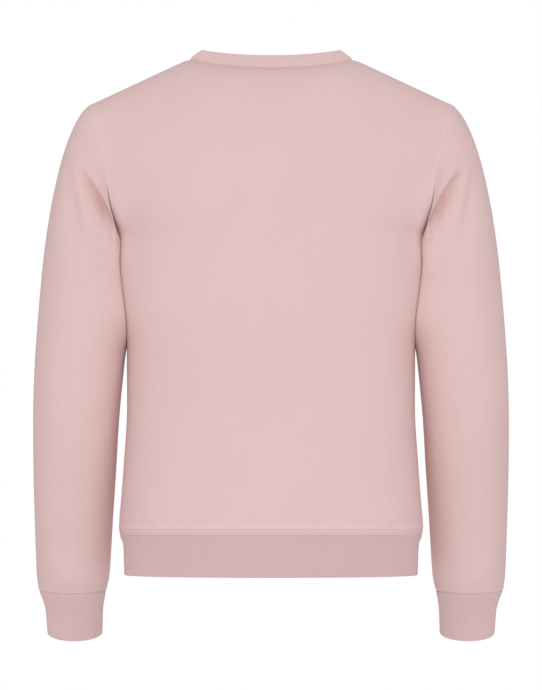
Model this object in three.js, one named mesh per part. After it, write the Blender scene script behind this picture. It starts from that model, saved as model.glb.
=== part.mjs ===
// A pull-on crewneck sweatshirt, filled out as if worn, built from the pieces that a maker sews.
// Millimetres. +Z is up, the front faces -Y, and +X is the wearer's left.
// The origin lies midway between the two points where the shoulder seams meet the collar.

import * as THREE from 'three';

// Cloth
const FLEECE_WALL = 2.0;
const RIB_WALL = 2.35;
const RIB_RELIEF = 0.25;
const SEAM_GAP = 0.3;
const MOST_MITRE = 1.6;

// Points closer than this are one point of a seam, and lengths closer than this are the same
const SAME_POINT = 0.02;
const SAME_LENGTH = 1e-6;
// Steps in which the length of a curve is measured
const MEASURING_STEPS = 400;

// Cut of the body: where the seams lie
const NECK_HALF_WIDTH = 99.4;
const NECK_DROP = { back: 13, front: 80 };
const NECK_REACH = { back: 42, front: -65 };
const NECK_DIP = 1.5;
const SHOULDER = { x: 222, z: -56 };
const UNDERARM_Z = -215;
const HEM_SEAM_Z = -580;
const HEM_RISE_AT_BACK = 5;

// Collar, above its seam
const COLLAR_TOP_HALF_WIDTH = 83;
const COLLAR_TOP_Z = { side: 12.8, back: 4.3, front: -61 };
const COLLAR_TOP_REACH = { back: 31, front: -58 };
const COLLAR_SWELL = 1.5;
// The point on the neck's axis that the collar leans towards
const COLLAR_AIM_Z = 60;

// How squarely the body rounds from its middle to its sides, and how it bends over at the top
const SIDE_ROUND = 0.87;
const YOKE_ROUND = 1.8;
const YOKE_ROUND_FROM = 27;
const TOP_BEND = {
  back: { middle: 0.8, neck_point: 0.9, shoulder_point: 0.6 },
  front: { middle: 1.2, neck_point: 1.2, shoulder_point: 0.6 },
};
// How far the cloth spreads sideways below the neck point, where the top edge turns a corner
const NECK_SPREAD = 20;
const NECK_SPREAD_GROWTH = 1.5;

// Body from the hem seam up to the underarm: half width, and how far the back and front reach
const TORSO = [
  { z: -580, half_width: 184.2, back: 108, front: -106 },
  { z: -567, half_width: 185.2, back: 110, front: -108 },
  { z: -540, half_width: 183.0, back: 108, front: -107 },
  { z: -490, half_width: 179.2, back: 102, front: -105 },
  { z: -424, half_width: 175.4, back: 99, front: -104 },
  { z: -345, half_width: 175.8, back: 100.5, front: -107.5 },
  { z: -293, half_width: 190.0, back: 104, front: -111 },
  { z: -250, half_width: 192.5, back: 107, front: -114 },
  { z: -215, half_width: 187.0, back: 109, front: -116 },
];
const TORSO_ROWS = [-580, -567, -540, -490, -424, -345, -293, -250, -215];

// Armhole edge of each panel, by degrees of rise from the underarm to the shoulder point
const ARMHOLE = {
  back: [
    { rise: 0, x: 187.0, reach: 0 },
    { rise: 7.5, x: 190.5, reach: 38 },
    { rise: 15, x: 194.5, reach: 58 },
    { rise: 30, x: 200.8, reach: 73 },
    { rise: 45, x: 209.0, reach: 75 },
    { rise: 60, x: 216.4, reach: 75 },
    { rise: 75, x: 220.8, reach: 75 },
    { rise: 90, x: 222.0, reach: 75 },
  ],
  front: [
    { rise: 0, x: 187.0, reach: 0 },
    { rise: 7.5, x: 189.5, reach: -36 },
    { rise: 15, x: 190.5, reach: -54 },
    { rise: 30, x: 190.0, reach: -67 },
    { rise: 45, x: 193.5, reach: -70 },
    { rise: 60, x: 202.0, reach: -70 },
    { rise: 75, x: 215.0, reach: -70 },
    { rise: 90, x: 222.0, reach: -70 },
  ],
};
const YOKE_ROWS = 12;
const RISE_STEP = 90 / YOKE_ROWS;

// Columns from the middle of a panel to its side: up to the neck point, and on along the shoulder
const NECK_COLUMNS = 5;
const HALF_COLUMNS = 12;

// Left sleeve from below its cap to the cuff seam: the outer and inner edge, the depth of its
// middle, half its depth, and the tilt of the ring in degrees, lower at the back
const SLEEVE = [
  { z: -266, outer: 280.4, inner: 162, y: 0, half_depth: 60, tilt: 0 },
  { z: -300, outer: 283.6, inner: 152, y: -1, half_depth: 59.5, tilt: 1 },
  { z: -330, outer: 286.0, inner: 167, y: -2, half_depth: 58, tilt: 2 },
  { z: -350, outer: 287.4, inner: 176, y: -3, half_depth: 57, tilt: 3 },
  { z: -385, outer: 289.6, inner: 180.5, y: -6, half_depth: 56, tilt: 5 },
  { z: -440, outer: 291.4, inner: 186.0, y: -15, half_depth: 54, tilt: 9 },
  { z: -500, outer: 291.8, inner: 190.0, y: -30, half_depth: 51, tilt: 12 },
  { z: -560, outer: 291.2, inner: 194.5, y: -46, half_depth: 48, tilt: 13 },
  { z: -610, outer: 290.3, inner: 198.0, y: -61, half_depth: 45, tilt: 11 },
  { z: -636, outer: 289.6, inner: 200.2, y: -68, half_depth: 43, tilt: 8 },
  { z: -650.3, outer: 287.1, inner: 204.2, y: -73, half_depth: 40, tilt: 5 },
];
const SLEEVE_ROWS = [-650.3, -641, -628, -600, -560, -515, -470, -425, -385, -350, -322, -294, -266];
const CAP_ROWS = [0.7, 0.48, 0.3, 0.14, 0];
const SLEEVE_COLUMNS = 2 * YOKE_ROWS;
const CLEAR_OF_BODY = 1.8;

// Sleeve cap: how it leaves the armhole at the shoulder point and at the underarm, and how
// strongly, as a share of the way down to the first ring of the sleeve
const CAP_LEAVES = { over: { x: 0.8, z: -0.6 }, under: { x: 0.2, z: -0.98 } };
const CAP_PULL = { start: 0.6, end: 0.8 };

// Left cuff from its seam down
const CUFF = [
  { z: -650.3, outer: 287.1, inner: 204.2, y: -73, half_depth: 40, tilt: 5 },
  { z: -659, outer: 283.6, inner: 206.0, y: -76, half_depth: 36, tilt: 9 },
  { z: -674, outer: 279.3, inner: 208.4, y: -80.5, half_depth: 31, tilt: 13 },
  { z: -705, outer: 277.3, inner: 209.8, y: -90, half_depth: 28, tilt: 19 },
];
const CUFF_POINTS_A_STEP = 6;

// Hem band below its seam: drop, and how much narrower and shallower than at the seam
const HEM_BAND = [
  { drop: 0, narrower: 0, shallower: 0 },
  { drop: 12, narrower: 4.4, shallower: 2.8 },
  { drop: 48, narrower: 5.6, shallower: 4 },
];
const HEM_DROP = HEM_BAND[HEM_BAND.length - 1].drop;
const HEM_BACK_EXTRA_DROP = 3;
const HEM_POINTS_A_STEP = 15;

// Points of the collar for each step of the seam, three ribs to an inner point
const COLLAR_POINTS_A_STEP = { back: 18, front: 24 };
const COLLAR_RIB_POINTS = 6;

// Largest folds, seen from behind or in front and the same on both sleeves: soft troughs along a
// line of points, with the depth at the line and the width where it has faded
const FOLDS = [
  { side: 'back', depth: 7, width: 12, line: [[229, -138], [214, -149], [203, -172], [197, -190]] },
  { side: 'back', depth: 3, width: 12, line: [[238, -138], [238, -168], [230, -201], [229, -233]] },
  { side: 'back', depth: 3, width: 12, line: [[279, -587], [265, -629], [254, -640]] },
  { side: 'front', depth: 8, width: 13, line: [[224, -126], [208, -140], [197, -165], [192, -190]] },
  { side: 'front', depth: 4, width: 16, line: [[214, -424], [244, -438], [276, -432]] },
  { side: 'front', depth: 3, width: 15, line: [[210, -474], [238, -482], [266, -474]] },
  { side: 'front', depth: 3, width: 16, line: [[176, -240], [150, -268], [112, -284]] },
];

// Colours of the cloth
const FLEECE_LOOK = { color: 0xe2c4c2, roughness: 0.95, metalness: 0 };
const RIB_LOOK = { color: 0xd5b5b3, roughness: 0.95, metalness: 0 };

const radians = THREE.MathUtils.degToRad;
const mix = THREE.MathUtils.lerp;

// A smooth curve through the rows of a table, without overshoot, held level past its ends
function curve(rows, from, to) {
  const sorted = [...rows].sort((a, b) => a[from] - b[from]);
  const x = sorted.map((row) => row[from]);
  const y = sorted.map((row) => row[to]);
  const slopes = x.slice(1).map((value, i) => (y[i + 1] - y[i]) / (value - x[i]));
  const knots = y.map((_, i) => {
    const before = slopes[Math.max(0, i - 1)];
    const after = slopes[Math.min(slopes.length - 1, i)];
    return before * after <= 0 ? 0 : (2 * before * after) / (before + after);
  });
  return (value) => {
    const at = THREE.MathUtils.clamp(value, x[0], x[x.length - 1]);
    const above = x.findIndex((knot, i) => i > 0 && knot >= at);
    const below = above - 1;
    const span = x[above] - x[below];
    return hermite(y[below], knots[below] * span, y[above], knots[above] * span, (at - x[below]) / span);
  };
}

function hermite(start, leaving, end, arriving, t) {
  const back = 1 - t;
  return (1 + 2 * t) * back * back * start + t * back * back * leaving
    + t * t * (3 - 2 * t) * end - t * t * back * arriving;
}

// Values of a parameter from start to end that space the points of a curve evenly
function evenly(pointAt, start, end, steps) {
  const at = (i) => pointAt(mix(start, end, i / MEASURING_STEPS));
  const lengths = [0];
  for (let i = 1; i <= MEASURING_STEPS; i += 1) {
    lengths.push(lengths[i - 1] + at(i).distanceTo(at(i - 1)));
  }
  return Array.from({ length: steps + 1 }, (_, step) => {
    const target = (lengths[MEASURING_STEPS] * step) / steps;
    const i = Math.max(1, lengths.findIndex((length) => length >= target - SAME_LENGTH));
    const share = (target - lengths[i - 1]) / (lengths[i] - lengths[i - 1]);
    return mix(start, end, (i - 1 + share) / MEASURING_STEPS);
  });
}

// The form of the body, as the distance of its cloth from the middle
const torsoHalfWidth = curve(TORSO, 'z', 'half_width');
const torsoReach = { back: curve(TORSO, 'z', 'back'), front: curve(TORSO, 'z', 'front') };
const armholeX = { back: curve(ARMHOLE.back, 'rise', 'x'), front: curve(ARMHOLE.front, 'rise', 'x') };
const armholeReach = {
  back: curve(ARMHOLE.back, 'rise', 'reach'),
  front: curve(ARMHOLE.front, 'rise', 'reach'),
};

function neckSeam(side, turn) {
  const share = Math.max(0, Math.cos(turn));
  return new THREE.Vector3(
    NECK_HALF_WIDTH * Math.sin(turn),
    NECK_REACH[side] * share,
    -NECK_DROP[side] * share ** NECK_DIP,
  );
}

function torsoPoint(side, turn, z) {
  const share = Math.max(0, Math.cos(turn)) ** SIDE_ROUND;
  const down = (UNDERARM_Z - z) / (UNDERARM_Z - HEM_SEAM_Z);
  const lift = side === 'back' ? HEM_RISE_AT_BACK * share * down : 0;
  return new THREE.Vector3(
    torsoHalfWidth(z) * Math.sin(turn) ** SIDE_ROUND,
    torsoReach[side](z) * share,
    z + lift,
  );
}

const BODY_TURNS = evenly((turn) => torsoPoint('front', turn, HEM_SEAM_Z), 0, Math.PI / 2, HALF_COLUMNS);
const NECK_TURNS = {
  back: evenly((turn) => neckSeam('back', turn), 0, Math.PI / 2, NECK_COLUMNS),
  front: evenly((turn) => neckSeam('front', turn), 0, Math.PI / 2, NECK_COLUMNS),
};

// Top edge of a panel at a column: the neckline, then the straight shoulder seam
function topEdge(side, column) {
  if (column <= NECK_COLUMNS) return neckSeam(side, NECK_TURNS[side][column]);
  const along = (column - NECK_COLUMNS) / (HALF_COLUMNS - NECK_COLUMNS);
  return new THREE.Vector3(mix(NECK_HALF_WIDTH, SHOULDER.x, along), 0, mix(0, SHOULDER.z, along));
}

function topBend(side, column) {
  const bend = TOP_BEND[side];
  if (column <= NECK_COLUMNS) return mix(bend.middle, bend.neck_point, column / NECK_COLUMNS);
  const along = (column - NECK_COLUMNS) / (HALF_COLUMNS - NECK_COLUMNS);
  return mix(bend.neck_point, bend.shoulder_point, along);
}

function neckSpread(column) {
  if (column <= NECK_COLUMNS) return NECK_SPREAD * (column / NECK_COLUMNS) ** NECK_SPREAD_GROWTH;
  return NECK_SPREAD * ((HALF_COLUMNS - column) / (HALF_COLUMNS - NECK_COLUMNS));
}

// Above the underarm the cloth rises to its top edge and bends over to it
function yokePoint(side, column, rise) {
  const turn = BODY_TURNS[column];
  const top = topEdge(side, column);
  const up = Math.sin(radians(rise));
  const over = Math.max(0, Math.cos(radians(rise)));
  const across = mix(Math.sin(turn) ** SIDE_ROUND, top.x / SHOULDER.x, up * up);
  const round = mix(SIDE_ROUND, YOKE_ROUND, Math.min(1, rise / YOKE_ROUND_FROM));
  const edge = armholeReach[side](rise);
  const full = edge + (torsoReach[side](UNDERARM_Z) - edge) * Math.max(0, Math.cos(turn)) ** round;
  return new THREE.Vector3(
    armholeX[side](rise) * across + 2 * up * over * neckSpread(column),
    top.y + (full - top.y) * over ** topBend(side, column),
    mix(UNDERARM_Z, top.z, up),
  );
}

// Depth of all the folds at a point of one side
function foldDepth(side, x, z) {
  let depth = 0;
  for (const fold of FOLDS.filter((one) => one.side === side)) {
    let nearest = Infinity;
    for (let i = 1; i < fold.line.length; i += 1) {
      const from = new THREE.Vector2(...fold.line[i - 1]);
      const along = new THREE.Vector2(...fold.line[i]).sub(from);
      const here = new THREE.Vector2(Math.abs(x), z).sub(from);
      const share = THREE.MathUtils.clamp(here.dot(along) / along.lengthSq(), 0, 1);
      nearest = Math.min(nearest, here.distanceTo(along.multiplyScalar(share)));
    }
    depth += fold.depth * Math.exp(-((nearest / fold.width) ** 2));
  }
  return depth;
}

function folded(point) {
  const side = point.y > 0 ? 'back' : 'front';
  const depth = foldDepth(side, point.x, point.z);
  return point.clone().setY(point.y - Math.sign(point.y) * Math.min(depth, Math.abs(point.y)));
}

// Rows of points go up, and columns run anticlockwise seen from above
function panelGrid(side) {
  const columns = [];
  for (let column = HALF_COLUMNS; column >= -HALF_COLUMNS; column -= 1) {
    columns.push(side === 'back' ? column : -column);
  }
  const mirrored = (point, column) => point.setX(column < 0 ? -point.x : point.x);
  const row = (make) => columns.map((column) => mirrored(make(Math.abs(column)), column));
  const grid = TORSO_ROWS.map((z) => row((column) => torsoPoint(side, BODY_TURNS[column], z)));
  for (let step = 1; step <= YOKE_ROWS; step += 1) {
    grid.push(row((column) => yokePoint(side, column, step * RISE_STEP)));
  }
  const last = columns.length - 1;
  return grid.map((points, i) => points.map((point, j) => {
    const onSeam = i === 0 || i === grid.length - 1 || j === 0 || j === last;
    return onSeam ? point : folded(point);
  }));
}

// The armhole loop of the left side, from the shoulder point down the back and up the front
function armholeLoop() {
  const loop = [];
  for (let k = 0; k < SLEEVE_COLUMNS; k += 1) {
    const behind = k <= YOKE_ROWS;
    const rise = Math.abs(YOKE_ROWS - k) * RISE_STEP;
    loop.push(yokePoint(behind ? 'back' : 'front', HALF_COLUMNS, rise));
  }
  loop[YOKE_ROWS] = torsoPoint('back', Math.PI / 2, UNDERARM_Z);
  return loop;
}

const ringColumns = ['outer', 'inner', 'y', 'half_depth', 'tilt'];
const ringOf = (table) => Object.fromEntries(ringColumns.map((name) => [name, curve(table, 'z', name)]));
const sleeveRing = ringOf(SLEEVE);
const cuffRing = ringOf(CUFF);

// A point of a ring round the arm; the turn starts at the outer edge and goes by the back
function ringPoint(ring, z, turn) {
  const half = (ring.outer(z) - ring.inner(z)) / 2;
  const behind = ring.half_depth(z) * Math.sin(turn);
  const tilt = radians(ring.tilt(z));
  return new THREE.Vector3(
    ring.inner(z) + half + half * Math.cos(turn),
    ring.y(z) + behind * Math.cos(tilt),
    z - behind * Math.sin(tilt),
  );
}

// Where the sleeve is pressed to the body it lies along it, just clear
function clearOfBody(point) {
  if (point.z > UNDERARM_Z) return point;
  const reach = torsoReach[point.y > 0 ? 'back' : 'front'](point.z);
  const share = Math.min(1, Math.abs(point.y / reach)) ** (2 / SIDE_ROUND);
  const side = torsoHalfWidth(point.z) * (1 - share) ** (SIDE_ROUND / 2);
  return point.setX(Math.max(point.x, side + CLEAR_OF_BODY));
}

function sleeveGrid() {
  const turns = Array.from({ length: SLEEVE_COLUMNS }, (_, k) => (2 * Math.PI * k) / SLEEVE_COLUMNS);
  const grid = SLEEVE_ROWS.map((z) => turns.map((turn) => ringPoint(sleeveRing, z, turn)));
  const below = SLEEVE_ROWS[SLEEVE_ROWS.length - 1];
  const armhole = armholeLoop();
  for (const t of CAP_ROWS) {
    grid.push(turns.map((turn, k) => {
      const start = armhole[k];
      const end = ringPoint(sleeveRing, below, turn);
      const chord = start.distanceTo(end);
      const up = Math.sin(radians(Math.abs(YOKE_ROWS - k) * RISE_STEP));
      const pull = CAP_PULL.start * chord;
      const leaving = new THREE.Vector3(
        pull * mix(CAP_LEAVES.under.x, CAP_LEAVES.over.x, up),
        0,
        pull * mix(CAP_LEAVES.under.z, CAP_LEAVES.over.z, up),
      );
      const arriving = ringPoint(sleeveRing, below - 1, turn).sub(end).setLength(CAP_PULL.end * chord);
      const along = ['x', 'y', 'z'].map((d) => hermite(start[d], leaving[d], end[d], arriving[d], t));
      return new THREE.Vector3(...along);
    }));
  }
  return grid.map((points, i) => {
    if (i === 0 || i === grid.length - 1) return points;
    return points.map((point) => clearOfBody(folded(point)));
  });
}

function cuffGrid() {
  const rows = [...CUFF].reverse();
  return rows.map((row) => Array.from({ length: SLEEVE_COLUMNS }, (_, k) => (
    ringPoint(cuffRing, row.z, (2 * Math.PI * k) / SLEEVE_COLUMNS)
  )));
}

function mirrorGrid(grid) {
  return grid.map((points) => {
    const other = points.map((point) => new THREE.Vector3(-point.x, point.y, point.z));
    return [other[0], ...other.slice(1).reverse()];
  });
}

// The two panels' edges joined to one loop, anticlockwise from the wearer's left
const joined = (back, front) => [...back.slice(0, -1), ...front.slice(0, -1)];

function hemGrid(seam) {
  const full = { x: torsoHalfWidth(HEM_SEAM_Z), y: torsoReach.back(HEM_SEAM_Z) };
  return [...HEM_BAND].reverse().map((row) => seam.map((point) => {
    const behind = Math.max(0, point.y / full.y);
    return new THREE.Vector3(
      point.x * (1 - row.narrower / full.x),
      point.y * (1 - row.shallower / full.y),
      point.z - row.drop - (row.drop / HEM_DROP) * HEM_BACK_EXTRA_DROP * behind,
    );
  }));
}

function collarTop(side, turn) {
  const share = Math.max(0, Math.cos(turn));
  return new THREE.Vector3(
    COLLAR_TOP_HALF_WIDTH * Math.sin(turn),
    COLLAR_TOP_REACH[side] * share,
    mix(COLLAR_TOP_Z.side, COLLAR_TOP_Z[side], share ** NECK_DIP),
  );
}

function collarGrid(seam) {
  const half = (side) => {
    const turns = NECK_TURNS[side];
    const left = [...turns].reverse().map((turn) => collarTop(side, turn));
    const right = turns.slice(1).map((turn) => collarTop(side, turn)).map((p) => p.setX(-p.x));
    return side === 'back' ? [...left, ...right] : [...left, ...right].reverse();
  };
  const top = joined(half('back'), half('front'));
  const middle = seam.map((point, j) => {
    const between = point.clone().lerp(top[j], 0.5);
    const outward = new THREE.Vector3(between.x, between.y, 0).setLength(COLLAR_SWELL);
    return between.add(outward);
  });
  return [seam, middle, top];
}

const backGrid = panelGrid('back');
const frontGrid = panelGrid('front');
const leftSleeve = sleeveGrid();
const leftCuff = cuffGrid();
const neckLine = (grid) => grid[grid.length - 1].slice(
  HALF_COLUMNS - NECK_COLUMNS,
  HALF_COLUMNS + NECK_COLUMNS + 1,
);
const neckLoop = joined(neckLine(backGrid), neckLine(frontGrid));
const hemLoop = joined(backGrid[0], frontGrid[0]);
const grids = {
  body_back: { rows: backGrid, closed: false },
  body_front: { rows: frontGrid, closed: false },
  sleeve_left: { rows: leftSleeve, closed: true },
  sleeve_right: { rows: mirrorGrid(leftSleeve), closed: true },
  cuff_left: { rows: leftCuff, closed: true },
  cuff_right: { rows: mirrorGrid(leftCuff), closed: true },
  hem_band: { rows: hemGrid(hemLoop), closed: true },
  neck_band: { rows: collarGrid(neckLoop), closed: true },
};

// Normals of the sewn garment, shared by the pieces that meet at a seam. Each face counts by the
// angle of its corner, so that both sides of a seam weigh the same
const keyOf = (point) => point.toArray().map((value) => Math.round(value / SAME_POINT)).join();
const facesAt = new Map();
for (const { rows, closed } of Object.values(grids)) {
  const wide = rows[0].length;
  const steps = closed ? wide : wide - 1;
  for (let i = 0; i + 1 < rows.length; i += 1) {
    for (let j = 0; j < steps; j += 1) {
      const next = (j + 1) % wide;
      const corners = [rows[i][j], rows[i][next], rows[i + 1][next], rows[i + 1][j]];
      const across = corners[2].clone().sub(corners[0]);
      const normal = across.cross(corners[3].clone().sub(corners[1])).normalize();
      corners.forEach((corner, k) => {
        const ahead = corners[(k + 1) % 4].clone().sub(corner);
        const angle = ahead.angleTo(corners[(k + 3) % 4].clone().sub(corner));
        const key = keyOf(corner);
        facesAt.set(key, [...(facesAt.get(key) ?? []), { normal, angle }]);
      });
    }
  }
}

function outward(point) {
  const normal = new THREE.Vector3();
  facesAt.get(keyOf(point)).forEach((face) => normal.addScaledVector(face.normal, face.angle));
  return normal.normalize();
}

// A wall that turns a corner at a seam is measured along the corner's bisector
function mitre(point, normal) {
  const faces = facesAt.get(keyOf(point));
  const turned = faces.reduce((sum, face) => sum + face.angle * face.normal.dot(normal), 0);
  const whole = faces.reduce((sum, face) => sum + face.angle, 0);
  return 1 / Math.max(turned / whole, 1 / MOST_MITRE);
}

// Each seam, with the pieces beyond it and the way that leads to them
const column = (grid, j, from, to) => grid.slice(from, to).map((points) => points[j]);
const underarmRow = TORSO_ROWS.length - 1;
const lastColumn = 2 * HALF_COLUMNS;
const shoulderSeam = (from, to) => backGrid[backGrid.length - 1].slice(from, to);
const toAxis = (point) => new THREE.Vector3(-point.x, -point.y, COLLAR_AIM_Z - point.z);
const seams = [
  { line: hemLoop, closed: true, beyond: ['hem_band'], way: () => new THREE.Vector3(0, 0, -1) },
  { line: neckLoop, closed: true, beyond: ['neck_band'], way: toAxis },
  { line: column(backGrid, 0, 0, underarmRow + 1) },
  { line: column(backGrid, lastColumn, 0, underarmRow + 1) },
  { line: shoulderSeam(0, HALF_COLUMNS - NECK_COLUMNS + 1) },
  { line: shoulderSeam(HALF_COLUMNS + NECK_COLUMNS, lastColumn + 1) },
].map((seam) => ({ beyond: ['body_back'], way: () => new THREE.Vector3(0, 1, 0), ...seam }));
for (const side of ['left', 'right']) {
  const rows = grids[`sleeve_${side}`].rows;
  const armhole = rows[rows.length - 1];
  const toSleeve = new THREE.Vector3(side === 'left' ? 1 : -1, 0, 0);
  seams.push(
    { line: armhole, closed: true, beyond: [`sleeve_${side}`], way: () => toSleeve },
    { line: rows[0], closed: true, beyond: [`cuff_${side}`], way: () => new THREE.Vector3(0, 0, -1) },
  );
}
const seamsAt = new Map();
for (const seam of seams) {
  seam.line.forEach((point, i) => {
    const count = seam.line.length;
    const before = seam.closed ? seam.line[(i + count - 1) % count] : seam.line[Math.max(0, i - 1)];
    const after = seam.closed ? seam.line[(i + 1) % count] : seam.line[Math.min(count - 1, i + 1)];
    const along = after.clone().sub(before).normalize();
    const key = keyOf(point);
    seamsAt.set(key, [...(seamsAt.get(key) ?? []), { ...seam, along }]);
  });
}

// How far a piece's edge draws back from the seams that pass through a point
function drawBack(name, point, normal) {
  const move = new THREE.Vector3();
  for (const seam of seamsAt.get(keyOf(point)) ?? []) {
    const across = seam.along.clone().cross(normal).normalize();
    if (across.dot(seam.way(point)) < 0) across.negate();
    move.addScaledVector(across, seam.beyond.includes(name) ? SEAM_GAP / 2 : -SEAM_GAP / 2);
  }
  return move;
}

// Outer points, normals and inner offsets of a piece's grid
function clothOf(name, thickness) {
  return grids[name].rows.map((points) => points.map((point) => {
    const normal = outward(point);
    const at = point.clone().add(drawBack(name, point, normal));
    return { at, normal, inward: normal.clone().multiplyScalar(-thickness * mitre(point, normal)) };
  }));
}

function solid(name, points, triangles, look) {
  const geometry = new THREE.BufferGeometry();
  geometry.setAttribute('position', new THREE.Float32BufferAttribute(points.flatMap((p) => p.toArray()), 3));
  geometry.setIndex(triangles.flat());
  geometry.computeVertexNormals();
  const mesh = new THREE.Mesh(geometry, new THREE.MeshStandardMaterial(look));
  mesh.name = name;
  return mesh;
}

// A four-sided face, split along its shorter diagonal
function quad(points, a, b, c, d) {
  const shorter = points[a].distanceTo(points[c]) < points[b].distanceTo(points[d]) + SAME_LENGTH;
  return shorter ? [[a, b, c], [a, c, d]] : [[a, b, d], [b, c, d]];
}

// The edge face between two points of a seam is split the same way in the pieces on both sides:
// the points are ranked by a direction that leans, so that no two of a seam come out level
const RANKED_ALONG = new THREE.Vector3(0.11, 0.37, 1);
const seamRank = ({ x, y, z }) => RANKED_ALONG.dot(new THREE.Vector3(Math.abs(x), Math.abs(y), z));
const splitAtFirst = (first, second) => seamRank(first) > seamRank(second);

// A wall of cloth with the same points inside and out: an open panel or a closed tube
function plainWall(name) {
  const cloth = clothOf(name, FLEECE_WALL);
  const { closed } = grids[name];
  const wide = cloth[0].length;
  const tall = cloth.length;
  const flat = cloth.flat();
  const seamPoints = grids[name].rows.flat();
  const points = [...flat.map((one) => one.at), ...flat.map((one) => one.at.clone().add(one.inward))];
  const out = (i, j) => i * wide + (j % wide);
  const ins = (i, j) => flat.length + out(i, j);
  const edge = (a, b) => {
    const [insA, insB] = [flat.length + a, flat.length + b];
    return splitAtFirst(seamPoints[a], seamPoints[b])
      ? [[insA, insB, a], [insB, b, a]]
      : [[insA, insB, b], [insA, b, a]];
  };
  const triangles = [];
  const steps = closed ? wide : wide - 1;
  for (let i = 0; i + 1 < tall; i += 1) {
    for (let j = 0; j < steps; j += 1) {
      triangles.push(...quad(points, out(i, j), out(i, j + 1), out(i + 1, j + 1), out(i + 1, j)));
      triangles.push(...quad(points, ins(i, j), ins(i + 1, j), ins(i + 1, j + 1), ins(i, j + 1)));
    }
  }
  for (let j = 0; j < steps; j += 1) {
    triangles.push(...edge(out(0, j), out(0, j + 1)));
    triangles.push(...edge(out(tall - 1, j + 1), out(tall - 1, j)));
  }
  for (let i = 0; i + 1 < tall && !closed; i += 1) {
    triangles.push(...edge(out(i + 1, 0), out(i, 0)));
    triangles.push(...edge(out(i, wide - 1), out(i + 1, wide - 1)));
  }
  return solid(name, points, triangles, FLEECE_LOOK);
}

// A ring of cloth between the points of a row: straight along a seam, smooth elsewhere
function alongRow(row, step, share, straight) {
  const count = row.length;
  const near = [-1, 0, 1, 2].map((offset) => row[(step + offset + count) % count]);
  const level = (name) => near[1][name].clone().lerp(near[2][name], share);
  const leaving = near[2].at.clone().sub(near[0].at).multiplyScalar(0.5);
  const arriving = near[3].at.clone().sub(near[1].at).multiplyScalar(0.5);
  const smooth = new THREE.Vector3(...['x', 'y', 'z'].map((d) => (
    hermite(near[1].at[d], leaving[d], near[2].at[d], arriving[d], share)
  )));
  return { at: straight ? level('at') : smooth, normal: level('normal'), inward: level('inward') };
}

// A tube of rib knit: fine upright ribs raised in the outside, over a plain inside.
// outerSteps and innerSteps give the points for each step of the seam
function ribbedTube(name, seamRow, outerSteps, innerSteps) {
  const cloth = clothOf(name, RIB_WALL);
  const ringOfSteps = (row, i, steps, make) => row.flatMap((_, step) => (
    Array.from({ length: steps[step] }, (_unused, m) => (
      make(alongRow(row, step, m / steps[step], i === seamRow), m)
    ))
  ));
  const outerRings = cloth.map((row, i) => {
    const ring = ringOfSteps(row, i, outerSteps, (one) => one);
    return ring.map((one, m) => {
      const relief = i === seamRow ? 0 : RIB_RELIEF * (m % 2 === 0 ? 1 : -1);
      return one.at.clone().addScaledVector(one.normal, relief);
    });
  });
  const innerRings = cloth.map((row, i) => (
    ringOfSteps(row, i, innerSteps, (one) => one.at.clone().add(one.inward))
  ));
  const many = outerRings[0].length;
  const few = innerRings[0].length;
  const tall = cloth.length;
  const points = [...outerRings, ...innerRings].flat();
  const out = (i, j) => i * many + (j % many);
  const ins = (i, j) => tall * many + i * few + (j % few);
  const triangles = [];
  for (let i = 0; i + 1 < tall; i += 1) {
    for (let j = 0; j < many; j += 1) {
      triangles.push(...quad(points, out(i, j), out(i, j + 1), out(i + 1, j + 1), out(i + 1, j)));
    }
    for (let j = 0; j < few; j += 1) {
      triangles.push(...quad(points, ins(i, j), ins(i + 1, j), ins(i + 1, j + 1), ins(i, j + 1)));
    }
  }
  for (const [i, upper] of [[0, false], [tall - 1, true]]) {
    const line = grids[name].rows[i];
    const face = (a, b, c) => triangles.push(upper ? [a, b, c] : [a, c, b]);
    let outerAt = 0;
    let innerAt = 0;
    outerSteps.forEach((outerCount, step) => {
      const outerEnd = outerAt + outerCount;
      const innerEnd = innerAt + innerSteps[step];
      const innerFirst = splitAtFirst(line[step], line[(step + 1) % line.length]);
      const outerTip = out(i, innerFirst ? outerAt : outerEnd);
      const innerTip = ins(i, innerFirst ? innerEnd : innerAt);
      for (; outerAt < outerEnd; outerAt += 1) face(out(i, outerAt), out(i, outerAt + 1), innerTip);
      for (; innerAt < innerEnd; innerAt += 1) face(outerTip, ins(i, innerAt + 1), ins(i, innerAt));
    });
  }
  return solid(name, points, triangles, RIB_LOOK);
}

const sameSteps = (count, points) => Array.from({ length: count }, () => points);
const garment = new THREE.Group();
garment.add(plainWall('body_back'), plainWall('body_front'));
for (const side of ['left', 'right']) {
  garment.add(plainWall(`sleeve_${side}`));
  garment.add(ribbedTube(
    `cuff_${side}`,
    CUFF.length - 1,
    sameSteps(SLEEVE_COLUMNS, CUFF_POINTS_A_STEP),
    sameSteps(SLEEVE_COLUMNS, 1),
  ));
}
garment.add(ribbedTube(
  'hem_band',
  HEM_BAND.length - 1,
  sameSteps(hemLoop.length, HEM_POINTS_A_STEP),
  sameSteps(hemLoop.length, 1),
));
const collarSteps = [
  ...sameSteps(2 * NECK_COLUMNS, COLLAR_POINTS_A_STEP.back),
  ...sameSteps(2 * NECK_COLUMNS, COLLAR_POINTS_A_STEP.front),
];
garment.add(ribbedTube('neck_band', 0, collarSteps, collarSteps.map((points) => points / COLLAR_RIB_POINTS)));

export default garment;
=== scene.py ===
# %% [markdown]
# # A crewneck sweatshirt, filled out and seen from behind
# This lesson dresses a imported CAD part: eight plain walls that stand for two body panels, two
# sleeves, two cuffs, a hem band and a collar. On the real garment each of them is a piece of knit
# cloth, cut flat and sewn at its edges. We could add detail to the CAD walls, but their points are
# few and their order isn't kept, so each piece is built again here from the same sizes, as a fine
# thin shell that lies on its wall. The walls stay hidden underneath, where they collide.

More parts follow.
